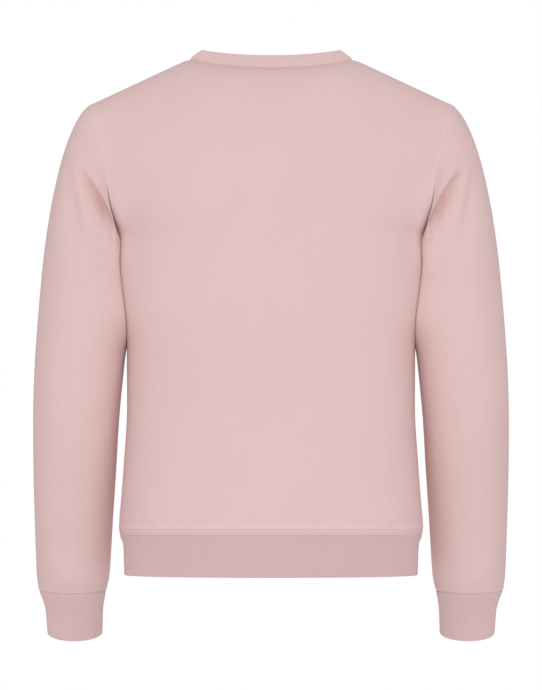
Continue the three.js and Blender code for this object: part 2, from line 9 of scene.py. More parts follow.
# %% Load the frame and measure it
import math

import bpy
import numpy as np
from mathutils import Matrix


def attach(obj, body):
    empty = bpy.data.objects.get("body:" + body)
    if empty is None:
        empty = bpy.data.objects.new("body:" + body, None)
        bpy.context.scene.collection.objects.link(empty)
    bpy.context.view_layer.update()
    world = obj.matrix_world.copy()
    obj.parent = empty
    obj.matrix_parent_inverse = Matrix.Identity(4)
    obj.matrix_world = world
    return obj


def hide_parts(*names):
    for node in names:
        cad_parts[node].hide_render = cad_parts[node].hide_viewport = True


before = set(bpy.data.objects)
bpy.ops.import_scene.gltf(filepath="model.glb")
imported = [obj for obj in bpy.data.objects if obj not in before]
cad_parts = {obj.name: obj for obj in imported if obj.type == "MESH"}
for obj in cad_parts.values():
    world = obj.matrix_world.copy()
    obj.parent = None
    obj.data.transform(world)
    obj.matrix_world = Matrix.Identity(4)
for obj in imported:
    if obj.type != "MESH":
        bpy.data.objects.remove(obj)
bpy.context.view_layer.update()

print("CAD walls:", ", ".join(sorted(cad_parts)))

# %% [markdown]
# ## The cut of the body
# A pattern maker writes down where the seams lie: the neckline, the straight shoulder seam, the
# armhole, the underarm and the hem. The same sizes stand at the top of the CAD source. They are
# kept in millimetres, as on a pattern, and turned into metres only when a mesh is made. A table
# names its columns in its first line, so a row reads like a line of a size chart.

# %% Sizes of the body
MILLIMETRE = 0.001
NECK_HALF_WIDTH = 99.4
NECK_DROP = {"back": 13.0, "front": 80.0}
NECK_REACH = {"back": 42.0, "front": -65.0}
NECK_DIP = 1.5
SHOULDER = {"x": 222.0, "z": -56.0}
UNDERARM_Z = -215.0
HEM_SEAM_Z = -580.0
HEM_RISE_AT_BACK = 5.0
SIDE_ROUND = 0.87
YOKE_ROUND = 1.8
YOKE_ROUND_FROM = 27.0
NECK_SPREAD = 20.0
NECK_SPREAD_RISE = 1.5
TOP_BEND = {"back": (0.8, 0.9, 0.6), "front": (1.2, 1.2, 0.6)}
NECK_COLUMNS = 5.0
HALF_COLUMNS = 12.0
SHOULDER_RISE = 90.0


def table(columns, *rows):
    """A size chart: the names of its columns, then its rows."""
    return {name: np.array(values, float) for name, values in zip(columns.split(), zip(*rows))}


TORSO = table(
    "z half_width back front",
    (-580, 184.2, 108, -106),
    (-567, 185.2, 110, -108),
    (-540, 183.0, 108, -107),
    (-490, 179.2, 102, -105),
    (-424, 175.4, 99, -104),
    (-345, 175.8, 100.5, -107.5),
    (-293, 190.0, 104, -111),
    (-250, 192.5, 107, -114),
    (-215, 187.0, 109, -116),
)
ARMHOLE = {
    "back": table(
        "rise x reach",
        (0, 187.0, 0),
        (7.5, 190.5, 38),
        (15, 194.5, 58),
        (30, 200.8, 73),
        (45, 209.0, 75),
        (60, 216.4, 75),
        (75, 220.8, 75),
        (90, 222.0, 75),
    ),
    "front": table(
        "rise x reach",
        (0, 187.0, 0),
        (7.5, 189.5, -36),
        (15, 190.5, -54),
        (30, 190.0, -67),
        (45, 193.5, -70),
        (60, 202.0, -70),
        (75, 215.0, -70),
        (90, 222.0, -70),
    ),
}
print("Body from hem seam to neck point:", -HEM_SEAM_Z, "mm, half width:", TORSO["half_width"][-1], "mm")

# %% [markdown]
# ## Smooth curves through the chart
# The rows of a chart are joined by a curve, as a maker joins marks with a French curve. An ordinary
# spline would swing past the marks and make bumps that the cloth doesn't have. This one takes the
# harmonic mean of the slopes on both sides of a mark, and lies level where they disagree, so it
# never overshoots.


# %% Curves and blends
TINY = 1e-9
MIRROR = np.array((-1, 1, 1))


def hermite(start, leaving, end, arriving, t):
    back = 1 - t
    return (
        (1 + 2 * t) * back * back * start
        + t * back * back * leaving
        + t * t * (3 - 2 * t) * end
        - t * t * back * arriving
    )


def curve(chart, along, name):
    """A smooth curve through one column of a chart, held level past its ends."""
    x, y = chart[along], chart[name]
    slopes = np.diff(y) / np.diff(x)
    before, after = np.append(slopes[0], slopes), np.append(slopes, slopes[-1])
    agree = before * after > 0
    leans = np.where(agree, 2 * before * after / np.where(agree, before + after, 1), 0)

    def at(value):
        value = np.clip(value, x[0], x[-1])
        i = np.clip(np.searchsorted(x, value, side="right") - 1, 0, len(slopes) - 1)
        span = x[i + 1] - x[i]
        return hermite(y[i], leans[i] * span, y[i + 1], leans[i + 1] * span, (value - x[i]) / span)

    return at


def mix(start, end, share):
    return start + (end - start) * share


def fade(value, start, end):
    """0 before start, 1 after end, and a soft S between them."""
    share = np.clip((value - start) / (end - start), 0, 1)
    return share * share * (3 - 2 * share)


def points(x, y, z):
    return np.stack(np.broadcast_arrays(x, y, z), axis=-1)


def unit(vectors):
    return vectors / np.maximum(np.linalg.norm(vectors, axis=-1, keepdims=True), TINY)


def length_along(line):
    """The way along a line of points, from 0 at its start."""
    return np.append(0, np.cumsum(np.linalg.norm(np.diff(line, axis=0), axis=1)))


def points_along(line, at, wanted):
    """What a line, or its normals, is at the wanted distances along it."""
    return np.stack([np.interp(wanted, at, line[:, axis]) for axis in range(3)], axis=-1)


torso_half_width = curve(TORSO, "z", "half_width")
torso_reach = {side: curve(TORSO, "z", side) for side in ("back", "front")}
armhole_x = {side: curve(ARMHOLE[side], "rise", "x") for side in ARMHOLE}
armhole_reach = {side: curve(ARMHOLE[side], "rise", "reach") for side in ARMHOLE}
print("Half width at the waist:", round(float(torso_half_width(-400)), 1), "mm")

# %% [markdown]
# ## The form of the body
# Below the underarm the body is a rounded tube: each level is a ring between a circle and a
# rectangle with soft corners. Above it, the yoke, each column of the cloth climbs to its place on
# the neckline or the shoulder seam and bends over to it. A column is a line that runs up a panel,
# from 0 in the middle to 12 at the side, and 5 ends at the neck point. How far up the yoke a point
# lies is an angle, its rise: 0 degrees at the underarm and 90 at the top seam.

# %% Body form
TURN_SAMPLES = 401


def neck_seam(side, turn):
    share = np.cos(turn).clip(0)
    return points(
        NECK_HALF_WIDTH * np.sin(turn), NECK_REACH[side] * share, -NECK_DROP[side] * share**NECK_DIP
    )


def torso_at(side, turn, z):
    share = np.cos(turn).clip(0) ** SIDE_ROUND
    down = (UNDERARM_Z - z) / (UNDERARM_Z - HEM_SEAM_Z)
    lift = HEM_RISE_AT_BACK * share * down if side == "back" else 0.0
    return points(
        torso_half_width(z) * np.sin(turn).clip(0) ** SIDE_ROUND, torso_reach[side](z) * share, z + lift
    )


def evenly(point_at):
    """Finds the turn at each share of a curve's length, for a quarter turn."""
    turns = np.linspace(0, math.pi / 2, TURN_SAMPLES)
    steps = np.linalg.norm(np.diff(point_at(turns), axis=0), axis=1)
    lengths = np.append(0, np.cumsum(steps)) / steps.sum()
    return lambda share: np.interp(share, lengths, turns)


body_turn = evenly(lambda turn: torso_at("front", turn, HEM_SEAM_Z))
neck_turn = {side: evenly(lambda turn, side=side: neck_seam(side, turn)) for side in ("back", "front")}


def top_edge(side, column):
    neck = neck_seam(side, neck_turn[side](np.minimum(1, column / NECK_COLUMNS)))
    along = ((column - NECK_COLUMNS) / (HALF_COLUMNS - NECK_COLUMNS)).clip(0)
    shoulder = points(mix(NECK_HALF_WIDTH, SHOULDER["x"], along), 0.0, mix(0.0, SHOULDER["z"], along))
    return np.where((column <= NECK_COLUMNS)[..., None], neck, shoulder)


def top_bend(side, column):
    return np.interp(column, (0, NECK_COLUMNS, HALF_COLUMNS), TOP_BEND[side])


def neck_spread(column):
    rising = (column / NECK_COLUMNS) ** NECK_SPREAD_RISE
    falling = (HALF_COLUMNS - column) / (HALF_COLUMNS - NECK_COLUMNS)
    return NECK_SPREAD * np.where(column <= NECK_COLUMNS, rising, falling)


def yoke_at(side, column, rise):
    turn = body_turn(column / HALF_COLUMNS)
    top = top_edge(side, column)
    up, over = np.sin(np.radians(rise)), np.cos(np.radians(rise)).clip(0)
    across = mix(np.sin(turn).clip(0) ** SIDE_ROUND, top[..., 0] / SHOULDER["x"], up * up)
    rounding = mix(SIDE_ROUND, YOKE_ROUND, np.minimum(1, rise / YOKE_ROUND_FROM))
    edge = armhole_reach[side](rise)
    full = edge + (torso_reach[side](UNDERARM_Z) - edge) * np.cos(turn).clip(0) ** rounding
    return points(
        armhole_x[side](rise) * across + 2 * up * over * neck_spread(column),
        top[..., 1] + (full - top[..., 1]) * over ** top_bend(side, column),
        mix(UNDERARM_Z, top[..., 2], up),
    )


shoulder_point = yoke_at("back", np.array(HALF_COLUMNS), np.array(SHOULDER_RISE))
print("Shoulder point of the back:", shoulder_point.round(1))

# %% [markdown]
# ## Threads of points at chosen distances
# Fine things happen at a seam: the cloth rolls in, and needles leave grooves a few millimetres
# away. Elsewhere a point each three millimetres is enough. So every line of points is laid out
# again at distances that we choose from each of its ends, measured along the cloth, with even
# steps in between.

# %% Lay points out along the cloth
EASE_STEP = 0.5


def lay_out(grid, from_start, from_end, step):
    """Spaces the rows of a grid: distances from its first and last row, and a step between."""
    typical = np.linalg.norm(np.diff(grid, axis=0), axis=2).sum(axis=0).mean()
    middle = max(2, int(round((typical - from_start[-1] - from_end[-1]) / step)))
    laid = []
    for line in grid.transpose(1, 0, 2):
        at = length_along(line)
        inner = np.linspace(from_start[-1], at[-1] - from_end[-1], middle + 1)[1:-1]
        wanted = np.concatenate([from_start, inner, at[-1] - np.array(from_end[::-1])])
        laid.append(points_along(line, at, wanted))
    return np.array(laid).transpose(1, 0, 2)


def lay_out_across(grid, from_start, from_end, step):
    return lay_out(grid.transpose(1, 0, 2), from_start, from_end, step).transpose(1, 0, 2)


def distance_from(grid):
    """How far each point is from the first and the last row, along the cloth."""
    steps = np.linalg.norm(np.diff(grid, axis=0), axis=2)
    low = np.concatenate([np.zeros((1, grid.shape[1])), np.cumsum(steps, axis=0)])
    return low, low[-1] - low


def distance_from_sides(grid):
    from_left, from_right = distance_from(grid.transpose(1, 0, 2))
    return np.minimum(from_left.T, from_right.T)


def normals_of(grid, closed):
    """Outward normals of a grid whose rows go up and whose columns go anticlockwise."""
    up = np.gradient(grid, axis=0)
    if closed:
        across = np.roll(grid, -1, axis=1) - np.roll(grid, 1, axis=1)
    else:
        across = np.gradient(grid, axis=1)
    return unit(np.cross(across, up))


def relaxed(grid, closed, times):
    """Lets small corners of the form ease out, as cloth does, with the edges held."""
    grid = grid.copy()
    for _ in range(times):
        left, right = np.roll(grid, 1, axis=1), np.roll(grid, -1, axis=1)
        average = (np.roll(grid, 1, axis=0) + np.roll(grid, -1, axis=0) + left + right) / 4
        normal = normals_of(grid, closed)
        step = ((average - grid) * normal).sum(axis=2, keepdims=True) * normal * EASE_STEP
        step[0] = step[-1] = 0
        if not closed:
            step[:, 0] = step[:, -1] = 0
        grid += step
    return grid


# %% [markdown]
# ## Creases
# The cloth hangs on a full form, so it shows few folds: the pinch behind each armpit, a soft
# trough down the back of each sleeve, and shallow ones at the elbow and above the cuff. A cloth
# simulation would find its own folds, in other places. Here each one is drawn as a line of marks,
# with its own depth and with a width on either side, so a crease can be sharp on one side and soft
# on the other. The more lopsided it is, the sharper its bottom. Depths below zero make a ridge, such
# as the fullness of cloth where a sleeve is pressed to the body.


# %% Creases
def crease(side, *rows):
    return side, table("x z depth inner_width outer_width", *rows)


CREASES = {
    "both": [
        crease(
            "back",
            (237, -135, 0, 5, 8), (230, -140.5, 4.5, 4, 8), (222.5, -147, 10, 2.4, 9),
            (215.5, -155.5, 15, 1.8, 10), (208.8, -165.5, 18, 1.6, 10), (202.4, -176.5, 19, 1.6, 9.5),
            (197, -187.5, 18, 1.8, 8.5), (193.2, -198.5, 13, 2.2, 7.5), (190.2, -211, 0, 3, 6),
        ),
        crease(
            "back",
            (200.5, -132, 0, 12, 8), (197.8, -152, -5, 13, 6.5), (195, -170, -9, 14, 6),
            (192, -186, -12, 15, 6), (190, -197, -14, 15, 6.5), (188, -206, -16, 15, 7),
            (186.5, -217, -17, 14, 8), (184.5, -230, -11, 13, 9), (182.5, -246, -5, 12, 12),
            (181, -264, 0, 12, 12),
        ),
        crease(
            "back",
            (247, -126, 0, 8, 12), (244, -142, 4, 6, 14), (240, -168, 5.5, 6, 15),
            (235, -196, 4.8, 6, 14), (231, -226, 2.4, 8, 12), (229, -256, 0, 12, 12),
        ),
        crease("back", (196, -120, 0, 16, 16), (182, -142, 1, 18, 18), (160, -170, 0, 20, 20)),
        crease(
            "front",
            (226, -122, 0, 7, 14), (214, -132, 4.5, 6, 16), (203, -150, 8, 5, 18),
            (195, -170, 8.5, 4, 16), (190, -190, 5.5, 4, 12), (186, -214, 1.5, 4, 9),
        ),
        crease(
            "front",
            (236, -128, 0, 12, 12), (234, -152, 2.4, 11, 14), (228, -184, 3, 11, 14),
            (222, -222, 1.4, 12, 12), (219, -250, 0, 12, 12),
        ),
        crease("front", (188, -205, 0, 10, 14), (160, -250, 2.4, 14, 18), (112, -284, 0, 18, 20)),
        crease("front", (186, -236, 0, 9, 12), (166, -284, 1.6, 12, 16), (134, -322, 0, 16, 18)),
    ],
    "sleeve": [
        crease("back", (268, -372, 0, 16, 16), (250, -392, 1.3, 16, 20), (226, -404, 0, 18, 18)),
        crease("back", (204, -424, 0, 10, 12), (214, -452, 1.6, 12, 14), (220, -488, 0, 14, 14)),
        crease(
            "back",
            (252, -530, 0, 12, 12), (246, -556, -1.1, 10, 12), (243, -590, -0.8, 10, 12),
            (240, -622, 0, 10, 10),
        ),
        crease(
            "back",
            (287, -560, 0, 10, 10), (280, -584, 5, 4, 12), (271, -612, 8, 3.5, 13),
            (262, -634, 5, 3.5, 11), (256, -646, 0, 8, 8),
        ),
        crease("back", (226, -600, 0, 8, 8), (222, -622, 1.2, 8, 9), (219, -643, 0.6, 8, 8)),
        crease(
            "front",
            (206, -424, 0, 12, 12), (224, -433, 4, 11, 16), (250, -438, 4.6, 11, 17),
            (280, -430, 0, 12, 16),
        ),
        crease("front", (204, -468, 0, 10, 12), (232, -480, 3.4, 10, 15), (272, -474, 0, 12, 14)),
        crease("front", (216, -400, 0, 10, 12), (238, -404, 2, 11, 13), (266, -392, 0, 12, 12)),
        crease("front", (226, -520, 0, 10, 12), (246, -528, 1.8, 10, 13), (270, -518, 0, 12, 12)),
        crease(
            "front",
            (282, -586, 0, 9, 9), (270, -612, 2.2, 9, 11), (252, -634, 1.4, 9, 10), (240, -645, 0, 8, 8),
        ),
    ],
    "body": [
        crease("back", (140, -560, 0, 8, 7), (152, -565, 2.6, 6, 7), (163, -572, 0, 6, 6)),
        crease("back", (128, -540, 0, 14, 14), (152, -552, -1, 10, 12), (172, -560, 0, 10, 10)),
        crease("back", (96, -380, 0, 30, 30), (112, -450, 1.6, 26, 30), (120, -520, 0, 24, 24)),
        crease("back", (60, -120, 0, 26, 26), (82, -190, 0.7, 28, 28), (92, -270, 0, 26, 26)),
        crease("front", (146, -550, 0, 10, 10), (154, -564, 1.2, 8, 8), (160, -575, 0, 7, 7)),
        crease("front", (70, -430, 0, 30, 30), (92, -490, 1.1, 26, 28), (100, -545, 0, 22, 22)),
        crease("front", (128, -96, 0, 18, 18), (140, -130, 1.2, 16, 18), (158, -166, 0, 16, 16)),
    ],
}
CREASE_POINTS = 60
LOPSIDED = (1.5, 4.0)
SOFT_BOTTOM = 2.0
SHARP_BOTTOM = 1.15


def crease_depth(creases, side, x, z):
    """Depth of the creases of one side, at points seen from there."""
    total = np.zeros_like(x)
    for on_side, marks in creases:
        if on_side != side:
            continue
        along = np.linspace(0, 1, CREASE_POINTS)
        at = np.linspace(0, 1, len(marks["x"]))
        line = {name: np.interp(along, at, values) for name, values in marks.items()}
        for name in ("x", "z"):
            line[name] = curve({"at": at, name: marks[name]}, "at", name)(along)
        apart_x = x[..., None] - line["x"]
        apart_z = z[..., None] - line["z"]
        nearest = np.argmin(apart_x**2 + apart_z**2, axis=-1)
        away_x = np.take_along_axis(apart_x, nearest[..., None], -1)[..., 0]
        away_z = np.take_along_axis(apart_z, nearest[..., None], -1)[..., 0]
        way_x, way_z = np.gradient(line["x"])[nearest], np.gradient(line["z"])[nearest]
        outer = away_x * way_z - away_z * way_x < 0
        inner_width, outer_width = line["inner_width"][nearest], line["outer_width"][nearest]
        width = np.where(outer, outer_width, inner_width)
        sharpness = np.where(outer, fade(outer_width / inner_width, *LOPSIDED), 0)
        apart = np.hypot(away_x, away_z) / width
        total += line["depth"][nearest] * np.exp(-(apart ** mix(SOFT_BOTTOM, SHARP_BOTTOM, sharpness)))
    return total


print("Creases drawn:", {kind: len(drawn) for kind, drawn in CREASES.items()})

# %% [markdown]
# ## A shell of cloth
# A panel of cloth is a grid of points. Its inside is the same grid moved in by the thickness of
# the cloth, and a narrow rim joins the two. The outside and the inside get different finishes,
# because the inside of this cloth is brushed. Each point also keeps two values that the finish
# reads: where it lies on the flat cloth, in metres, so that the knit runs up each piece, and the
# painted light of its seams: a painted highlight on ridges, painted shade in grooves.


# %% Turn grids into a mesh
def add_to_scene(name, data):
    made = bpy.data.objects.new(name, data)
    bpy.context.scene.collection.objects.link(made)
    return made


def as_object(name, vertices, faces, sides, flats, cloth_map, seam_light_shade):
    mesh = bpy.data.meshes.new(name)
    mesh.vertices.add(len(vertices))
    mesh.vertices.foreach_set("co", (vertices * MILLIMETRE).astype(np.float32).ravel())
    mesh.loops.add(faces.size)
    mesh.loops.foreach_set("vertex_index", faces.astype(np.int32).ravel())
    mesh.polygons.add(len(faces))
    mesh.polygons.foreach_set("loop_start", np.arange(0, faces.size, 4, dtype=np.int32))
    mesh.polygons.foreach_set("material_index", sides.astype(np.int32))
    mesh.update(calc_edges=True)
    mesh.polygons.foreach_set("use_smooth", ~flats)
    flat_cloth = mesh.uv_layers.new(name="cloth")
    flat_cloth.data.foreach_set("uv", (cloth_map * MILLIMETRE).astype(np.float32).ravel())
    # The seam attribute is painted light: a painted highlight on seam ridges and painted shade in seam
    # grooves and needle lines.
    light_shade = mesh.attributes.new("seam_light_shade", "FLOAT", "POINT")
    light_shade.data.foreach_set("value", seam_light_shade.astype(np.float32).ravel())
    mesh.validate()
    return add_to_scene(name, mesh)


def quads(index, across_map, up_map, wrap):
    """The four-sided faces of a grid of point numbers, with the flat place of each corner."""
    rows, columns = index.shape
    i, j = np.meshgrid(np.arange(rows - 1), np.arange(columns if wrap else columns - 1), indexing="ij")
    i, j = i.ravel(), j.ravel()
    corners = [(i, j), (i, j + 1), (i + 1, j + 1), (i + 1, j)]
    faces = np.stack([index[a, b % columns] for a, b in corners], axis=1)
    flat = np.stack([np.stack([across_map[b], up_map[a]], axis=1) for a, b in corners], axis=1)
    return faces, flat


def sheet_of_cloth(name, outside, normal, thickness, across, up, seam_light_shade):
    """A closed thin shell with an outside, an inside and a rim along its four edges."""
    rows, columns = outside.shape[:2]
    inside = outside - normal * thickness
    count = rows * columns
    out = np.arange(count).reshape(rows, columns)
    into = out + count
    parts = [(quads(out, across, up, False), 0, False)]
    faces, flat = quads(into, across, up, False)
    parts.append(((faces[:, ::-1], flat[:, ::-1]), 1, False))
    for near, far, line in (
        (out[0], into[0], across),
        (into[-1], out[-1], across),
        (into[:, 0], out[:, 0], up),
        (out[:, -1], into[:, -1], up),
    ):
        strip = np.stack([far, near])
        parts.append((quads(strip, line, np.array([0.0, thickness]), False), 0, True))
    faces = np.concatenate([part[0][0] for part in parts])
    flat = np.concatenate([part[0][1] for part in parts])
    sides = np.concatenate([np.full(len(part[0][0]), part[1]) for part in parts])
    flats = np.concatenate([np.full(len(part[0][0]), part[2]) for part in parts])
    vertices = np.concatenate([outside.reshape(-1, 3), inside.reshape(-1, 3)])
    light_shade = np.concatenate([seam_light_shade.ravel(), np.zeros(count)])
    return as_object(name, vertices, faces, sides, flats, flat, light_shade)


def cloth_places(grid, at_row, at_column):
    """Where columns and rows lie on the flat cloth: measured along one row and one column."""
    across = length_along(grid[at_row])
    return across - across[at_column], length_along(grid[:, at_column])


def stands_for(piece, cad_node):
    """Ties a piece to the root body and hides the CAD wall that it dresses."""
    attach(piece, "root")
    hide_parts(cad_node)


# %% [markdown]
# ## How a sewn edge looks
# Sewn cloth turns in at its seam, where the two edges meet and go down to their allowance. Over
# the allowance it stands a little proud, and past it comes a soft ridge that catches light. On the
# hem, two needle lines press the cloth down again. So a seam is a short chart of small rises and
# dips, each at its own distance from the edge, and with painted light: a painted highlight on the
# ridge, and painted shade at the seam line and in the needle lines.

# %% Seam reliefs
FLEECE_THICKNESS = 1.8
CLOTH_STEP = 3.0
NEEDLE_LINES = (2.7, 6.5)
HEM_DISTANCES = [0, 0.6, 1.2, 1.9, 2.7, 3.5, 4.6, 5.7, 6.5, 7.3, 8.3, 9.4, 10.6, 12.2, 14.4, 17]
SEAM_DISTANCES = [0, 0.6, 1.3, 2.1, 3.0, 4.2, 6.0, 8.5]
ARMHOLE_DISTANCES = [*SEAM_DISTANCES, 10, 11.5, 13, 14.5, 16, 17.5, 19, 21, 23, 25.5]
EASED_TIMES = 14
SEAM_COLUMNS = "centre width height tone"
# The last column of each seam row is painted light: above zero a painted highlight on a ridge, below zero
# painted shade in grooves and needle lines.
SEAMS = {
    "hem": table(
        SEAM_COLUMNS,
        (0, 1.5, -0.9, 0),
        (0, 1.0, 0, -0.5),
        *((line, 0.8, -0.4, -0.75) for line in NEEDLE_LINES),
        (9.6, 1.9, 0.55, 0.5),
    ),
    "ridged": table(SEAM_COLUMNS, (0, 1.2, -0.6, 0), (0, 0.9, 0, -0.3), (2.6, 1.5, 0.5, 0.55)),
    "flat": table(SEAM_COLUMNS, (0, 1.0, -0.3, 0), (0, 0.7, 0, -0.15), (2.6, 1.7, 0.2, 0.3)),
    "band": table(SEAM_COLUMNS, (0, 1.3, -0.7, 0), (0, 1.5, 0, -0.6)),
}
ALLOWANCE_HEIGHT = {"hem": 0.25, "ridged": 0.0, "flat": 0.0, "band": 0.0}
ALLOWANCE_ENDS = (6, 9)


def bump(distance, centre, width):
    return np.exp(-(((distance - centre) / width) ** 2))


def beside_seam(kind, distance):
    """Height and painted light beside a seam: a painted highlight on its ridges, painted shade in its
    grooves. A ridged one lies under the collar or above a cuff.
    """
    height = ALLOWANCE_HEIGHT[kind] * (1 - fade(distance, *ALLOWANCE_ENDS))
    light_shade = np.zeros_like(distance)
    for centre, width, rise, shade in zip(*SEAMS[kind].values()):
        here = bump(distance, centre, width)
        height, light_shade = height + rise * here, light_shade + shade * here
    return height, light_shade


print("Seams:", {kind: len(chart["centre"]) for kind, chart in SEAMS.items()})


# %% [markdown]
# ## Back and front panel
# Each panel runs from the hem seam to its neckline and shoulder seams. The grid is made from the
# body form, laid out along the cloth, eased, creased, and then given its seams. The edge rows and
# columns of neighbouring panels lie on the same lines, so the garment closes where it is sewn.

# %% Make a panel's grid
HALF_PANEL_POINTS = 97
BODY_ROWS = 92
YOKE_STEP = 1.0
FINE_RISE = 86.0
FINE_STEP = 0.25
TROUGH_FACING = (0, 14)
RIDGE_FACING = (-8, 4)
NECK_POINT = (NECK_HALF_WIDTH - 4, NECK_HALF_WIDTH + 1)


def panel_grid(side):
    half = np.linspace(0, HALF_COLUMNS, HALF_PANEL_POINTS)
    low = np.linspace(HEM_SEAM_Z, UNDERARM_Z, BODY_ROWS)[:, None]
    fine = np.arange(FINE_RISE, SHOULDER_RISE + FINE_STEP, FINE_STEP)
    rise = np.append(np.arange(YOKE_STEP, FINE_RISE, YOKE_STEP), fine)[:, None]
    turn = body_turn(half / HALF_COLUMNS)[None, :]
    right_half = np.concatenate([torso_at(side, turn, low), yoke_at(side, half[None, :], rise)])
    other_half = right_half * MIRROR
    whole = [right_half[:, ::-1], other_half[:, 1:]]
    if side == "front":
        whole = [other_half[:, ::-1], right_half[:, 1:]]
    grid = np.concatenate(whole, axis=1)
    grid = lay_out_across(grid, SEAM_DISTANCES, SEAM_DISTANCES, CLOTH_STEP)
    grid = lay_out(grid, HEM_DISTANCES, SEAM_DISTANCES, CLOTH_STEP)
    return relaxed(grid, False, EASED_TIMES)


def crease_cloth(grid, kinds):
    """Moves the cloth towards the middle at its creases, the same on both sides of a seam."""
    x, y, z = np.abs(grid[..., 0]), grid[..., 1], grid[..., 2]
    moved = np.zeros_like(x)
    for side, sign in (("back", 1), ("front", -1)):
        depth = sum(crease_depth(CREASES[kind], side, x, z) for kind in kinds)
        facing = np.where(depth < 0, fade(sign * y, *RIDGE_FACING), fade(sign * y, *TROUGH_FACING))
        moved += sign * facing * depth
    return grid - points(0.0, moved, 0.0)


def make_panel(name, cad_node, side):
    grid = crease_cloth(panel_grid(side), ("both", "body"))
    normal = normals_of(grid, False)
    from_hem, from_top = distance_from(grid)
    near_neck = 1 - fade(np.abs(grid[-1, :, 0]), *NECK_POINT)
    # Each seam adds height and painted light: a painted highlight on ridges, painted shade in grooves.
    height, light_shade = (
        at_hem + mix(at_shoulder, at_neck, near_neck) + at_side
        for at_hem, at_shoulder, at_neck, at_side in zip(
            beside_seam("hem", from_hem),
            beside_seam("flat", from_top),
            beside_seam("ridged", from_top),
            beside_seam("flat", distance_from_sides(grid)),
        )
    )
    outside = grid + normal * height[..., None]
    across, up = cloth_places(grid, grid.shape[0] // 2, grid.shape[1] // 2)
    panel = sheet_of_cloth(name, outside, normal, FLEECE_THICKNESS, across, up, light_shade)
    stands_for(panel, cad_node)
    print(name, "grid", grid.shape[:2], "faces", len(panel.data.polygons))
    return panel, outside, normal


back_panel, back_outside, back_normal = make_panel("back_panel", "body_back", "back")
front_panel, front_outside, front_normal = make_panel("front_panel", "body_front", "front")

# %% [markdown]
# ## Sleeves
# A set-in sleeve is cut as one flat piece with a rounded cap, and sewn to a tube by one seam under
# the arm. The grid starts and ends at that seam. Below the cap its rows are rings from a chart:
# the outer and inner edge as seen from behind, the depth, and the tilt of a bent arm. The cap
# leaves the armhole and bends down to the first ring.

# %% Sleeve sizes
SLEEVE = table(
    "z outer inner y half_depth tilt",
    (-650.3, 287.1, 204.2, -73, 40, 5),
    (-636, 289.6, 200.2, -68, 43, 8),
    (-610, 290.3, 198.0, -61, 45, 11),
    (-560, 291.2, 194.5, -46, 48, 13),
    (-500, 291.8, 190.0, -30, 51, 12),
    (-440, 291.4, 186.0, -15, 54, 9),
    (-385, 289.6, 180.5, -6, 56, 5),
    (-350, 287.4, 176, -3, 57, 3),
    (-330, 286.0, 167, -2, 58, 2),
    (-300, 283.6, 152, -1, 59.5, 1),
    (-266, 280.4, 162, 0, 60, 0),
)
CUFF = table(
    "z outer inner y half_depth tilt",
    (-705, 277.3, 209.8, -90, 28, 19),
    (-674, 279.3, 208.4, -80.5, 31, 13),
    (-659, 283.6, 206.0, -76, 36, 9),
    (-650.3, 287.1, 204.2, -73, 40, 5),
)
FIRST_RING_Z = -266.0
CUFF_SEAM_Z = -650.3
CAP_LEAVES_OVER = (0.8, 0.0, -0.6)
CAP_LEAVES_UNDER = (-0.3, 0.0, -0.98)
CAP_PULL = {"start": 0.6, "end": 0.8}
CLEAR_OF_BODY = 0.35
SLEEVE_TURNS = 145
SLEEVE_RINGS = 110
CAP_STEPS = 60
JUST_PAST = 1e-6


# %% Make a sleeve's grid
def rings_of(chart):
    return {name: curve(chart, "z", name) for name in ("outer", "inner", "y", "half_depth", "tilt")}


def ring_at(ring, z, turn):
    """A point of a ring round the arm; the turn starts at its outer edge and goes by the back."""
    half = (ring["outer"](z) - ring["inner"](z)) / 2
    behind, tilt = ring["half_depth"](z) * np.sin(turn), np.radians(ring["tilt"](z))
    return points(
        ring["inner"](z) + half + half * np.cos(turn),
        ring["y"](z) + behind * np.cos(tilt),
        z - behind * np.sin(tilt),
    )


def armhole_at(turn):
    """The armhole, from the shoulder point down the back to the underarm and up the front."""
    rise = np.abs(1 - turn / math.pi) * SHOULDER_RISE
    side_column = np.full_like(turn, HALF_COLUMNS)
    back, front = (yoke_at(side, side_column, rise) for side in ("back", "front"))
    return np.where((turn <= math.pi)[:, None], back, front), np.sin(np.radians(rise))[:, None]


def clear_of_body(grid):
    """Where the sleeve is pressed to the body it lies along it."""
    x, y, z = grid[..., 0], grid[..., 1], grid[..., 2]
    reach = np.where(y > 0, torso_reach["back"](z), torso_reach["front"](z))
    share = np.minimum(1, np.abs(y / reach)) ** (2 / SIDE_ROUND)
    side = torso_half_width(z) * (1 - share) ** (SIDE_ROUND / 2) + CLEAR_OF_BODY
    return points(np.where(z <= UNDERARM_Z, np.maximum(x, side), x), y, z)


def sleeve_grid():
    """Goes round from the underarm by the front to the shoulder, and home by the back."""
    turn = np.linspace(math.pi, 3 * math.pi, SLEEVE_TURNS)
    turn = np.where(turn > 2 * math.pi, turn - 2 * math.pi, turn)
    turn[0] += JUST_PAST
    ring = rings_of(SLEEVE)
    heights = np.linspace(CUFF_SEAM_Z, FIRST_RING_Z, SLEEVE_RINGS)
    rows = [ring_at(ring, z, turn) for z in heights]
    start, up = armhole_at(turn)
    end = ring_at(ring, FIRST_RING_Z, turn)
    chord = np.linalg.norm(end - start, axis=1, keepdims=True)
    leaving = CAP_PULL["start"] * chord * mix(np.array(CAP_LEAVES_UNDER), np.array(CAP_LEAVES_OVER), up)
    down = ring_at(ring, FIRST_RING_Z - 1, turn) - end
    arriving = CAP_PULL["end"] * chord * unit(down)
    shares = np.linspace(1, 0, CAP_STEPS + 1)[1:]
    rows += [hermite(start, leaving, end, arriving, share) for share in shares]
    grid = lay_out_across(np.array(rows), SEAM_DISTANCES, SEAM_DISTANCES, CLOTH_STEP)
    grid = lay_out(grid, SEAM_DISTANCES, ARMHOLE_DISTANCES, CLOTH_STEP)
    return relaxed(grid, False, EASED_TIMES)


def mirrored(grid):
    return (grid * MIRROR)[:, ::-1]


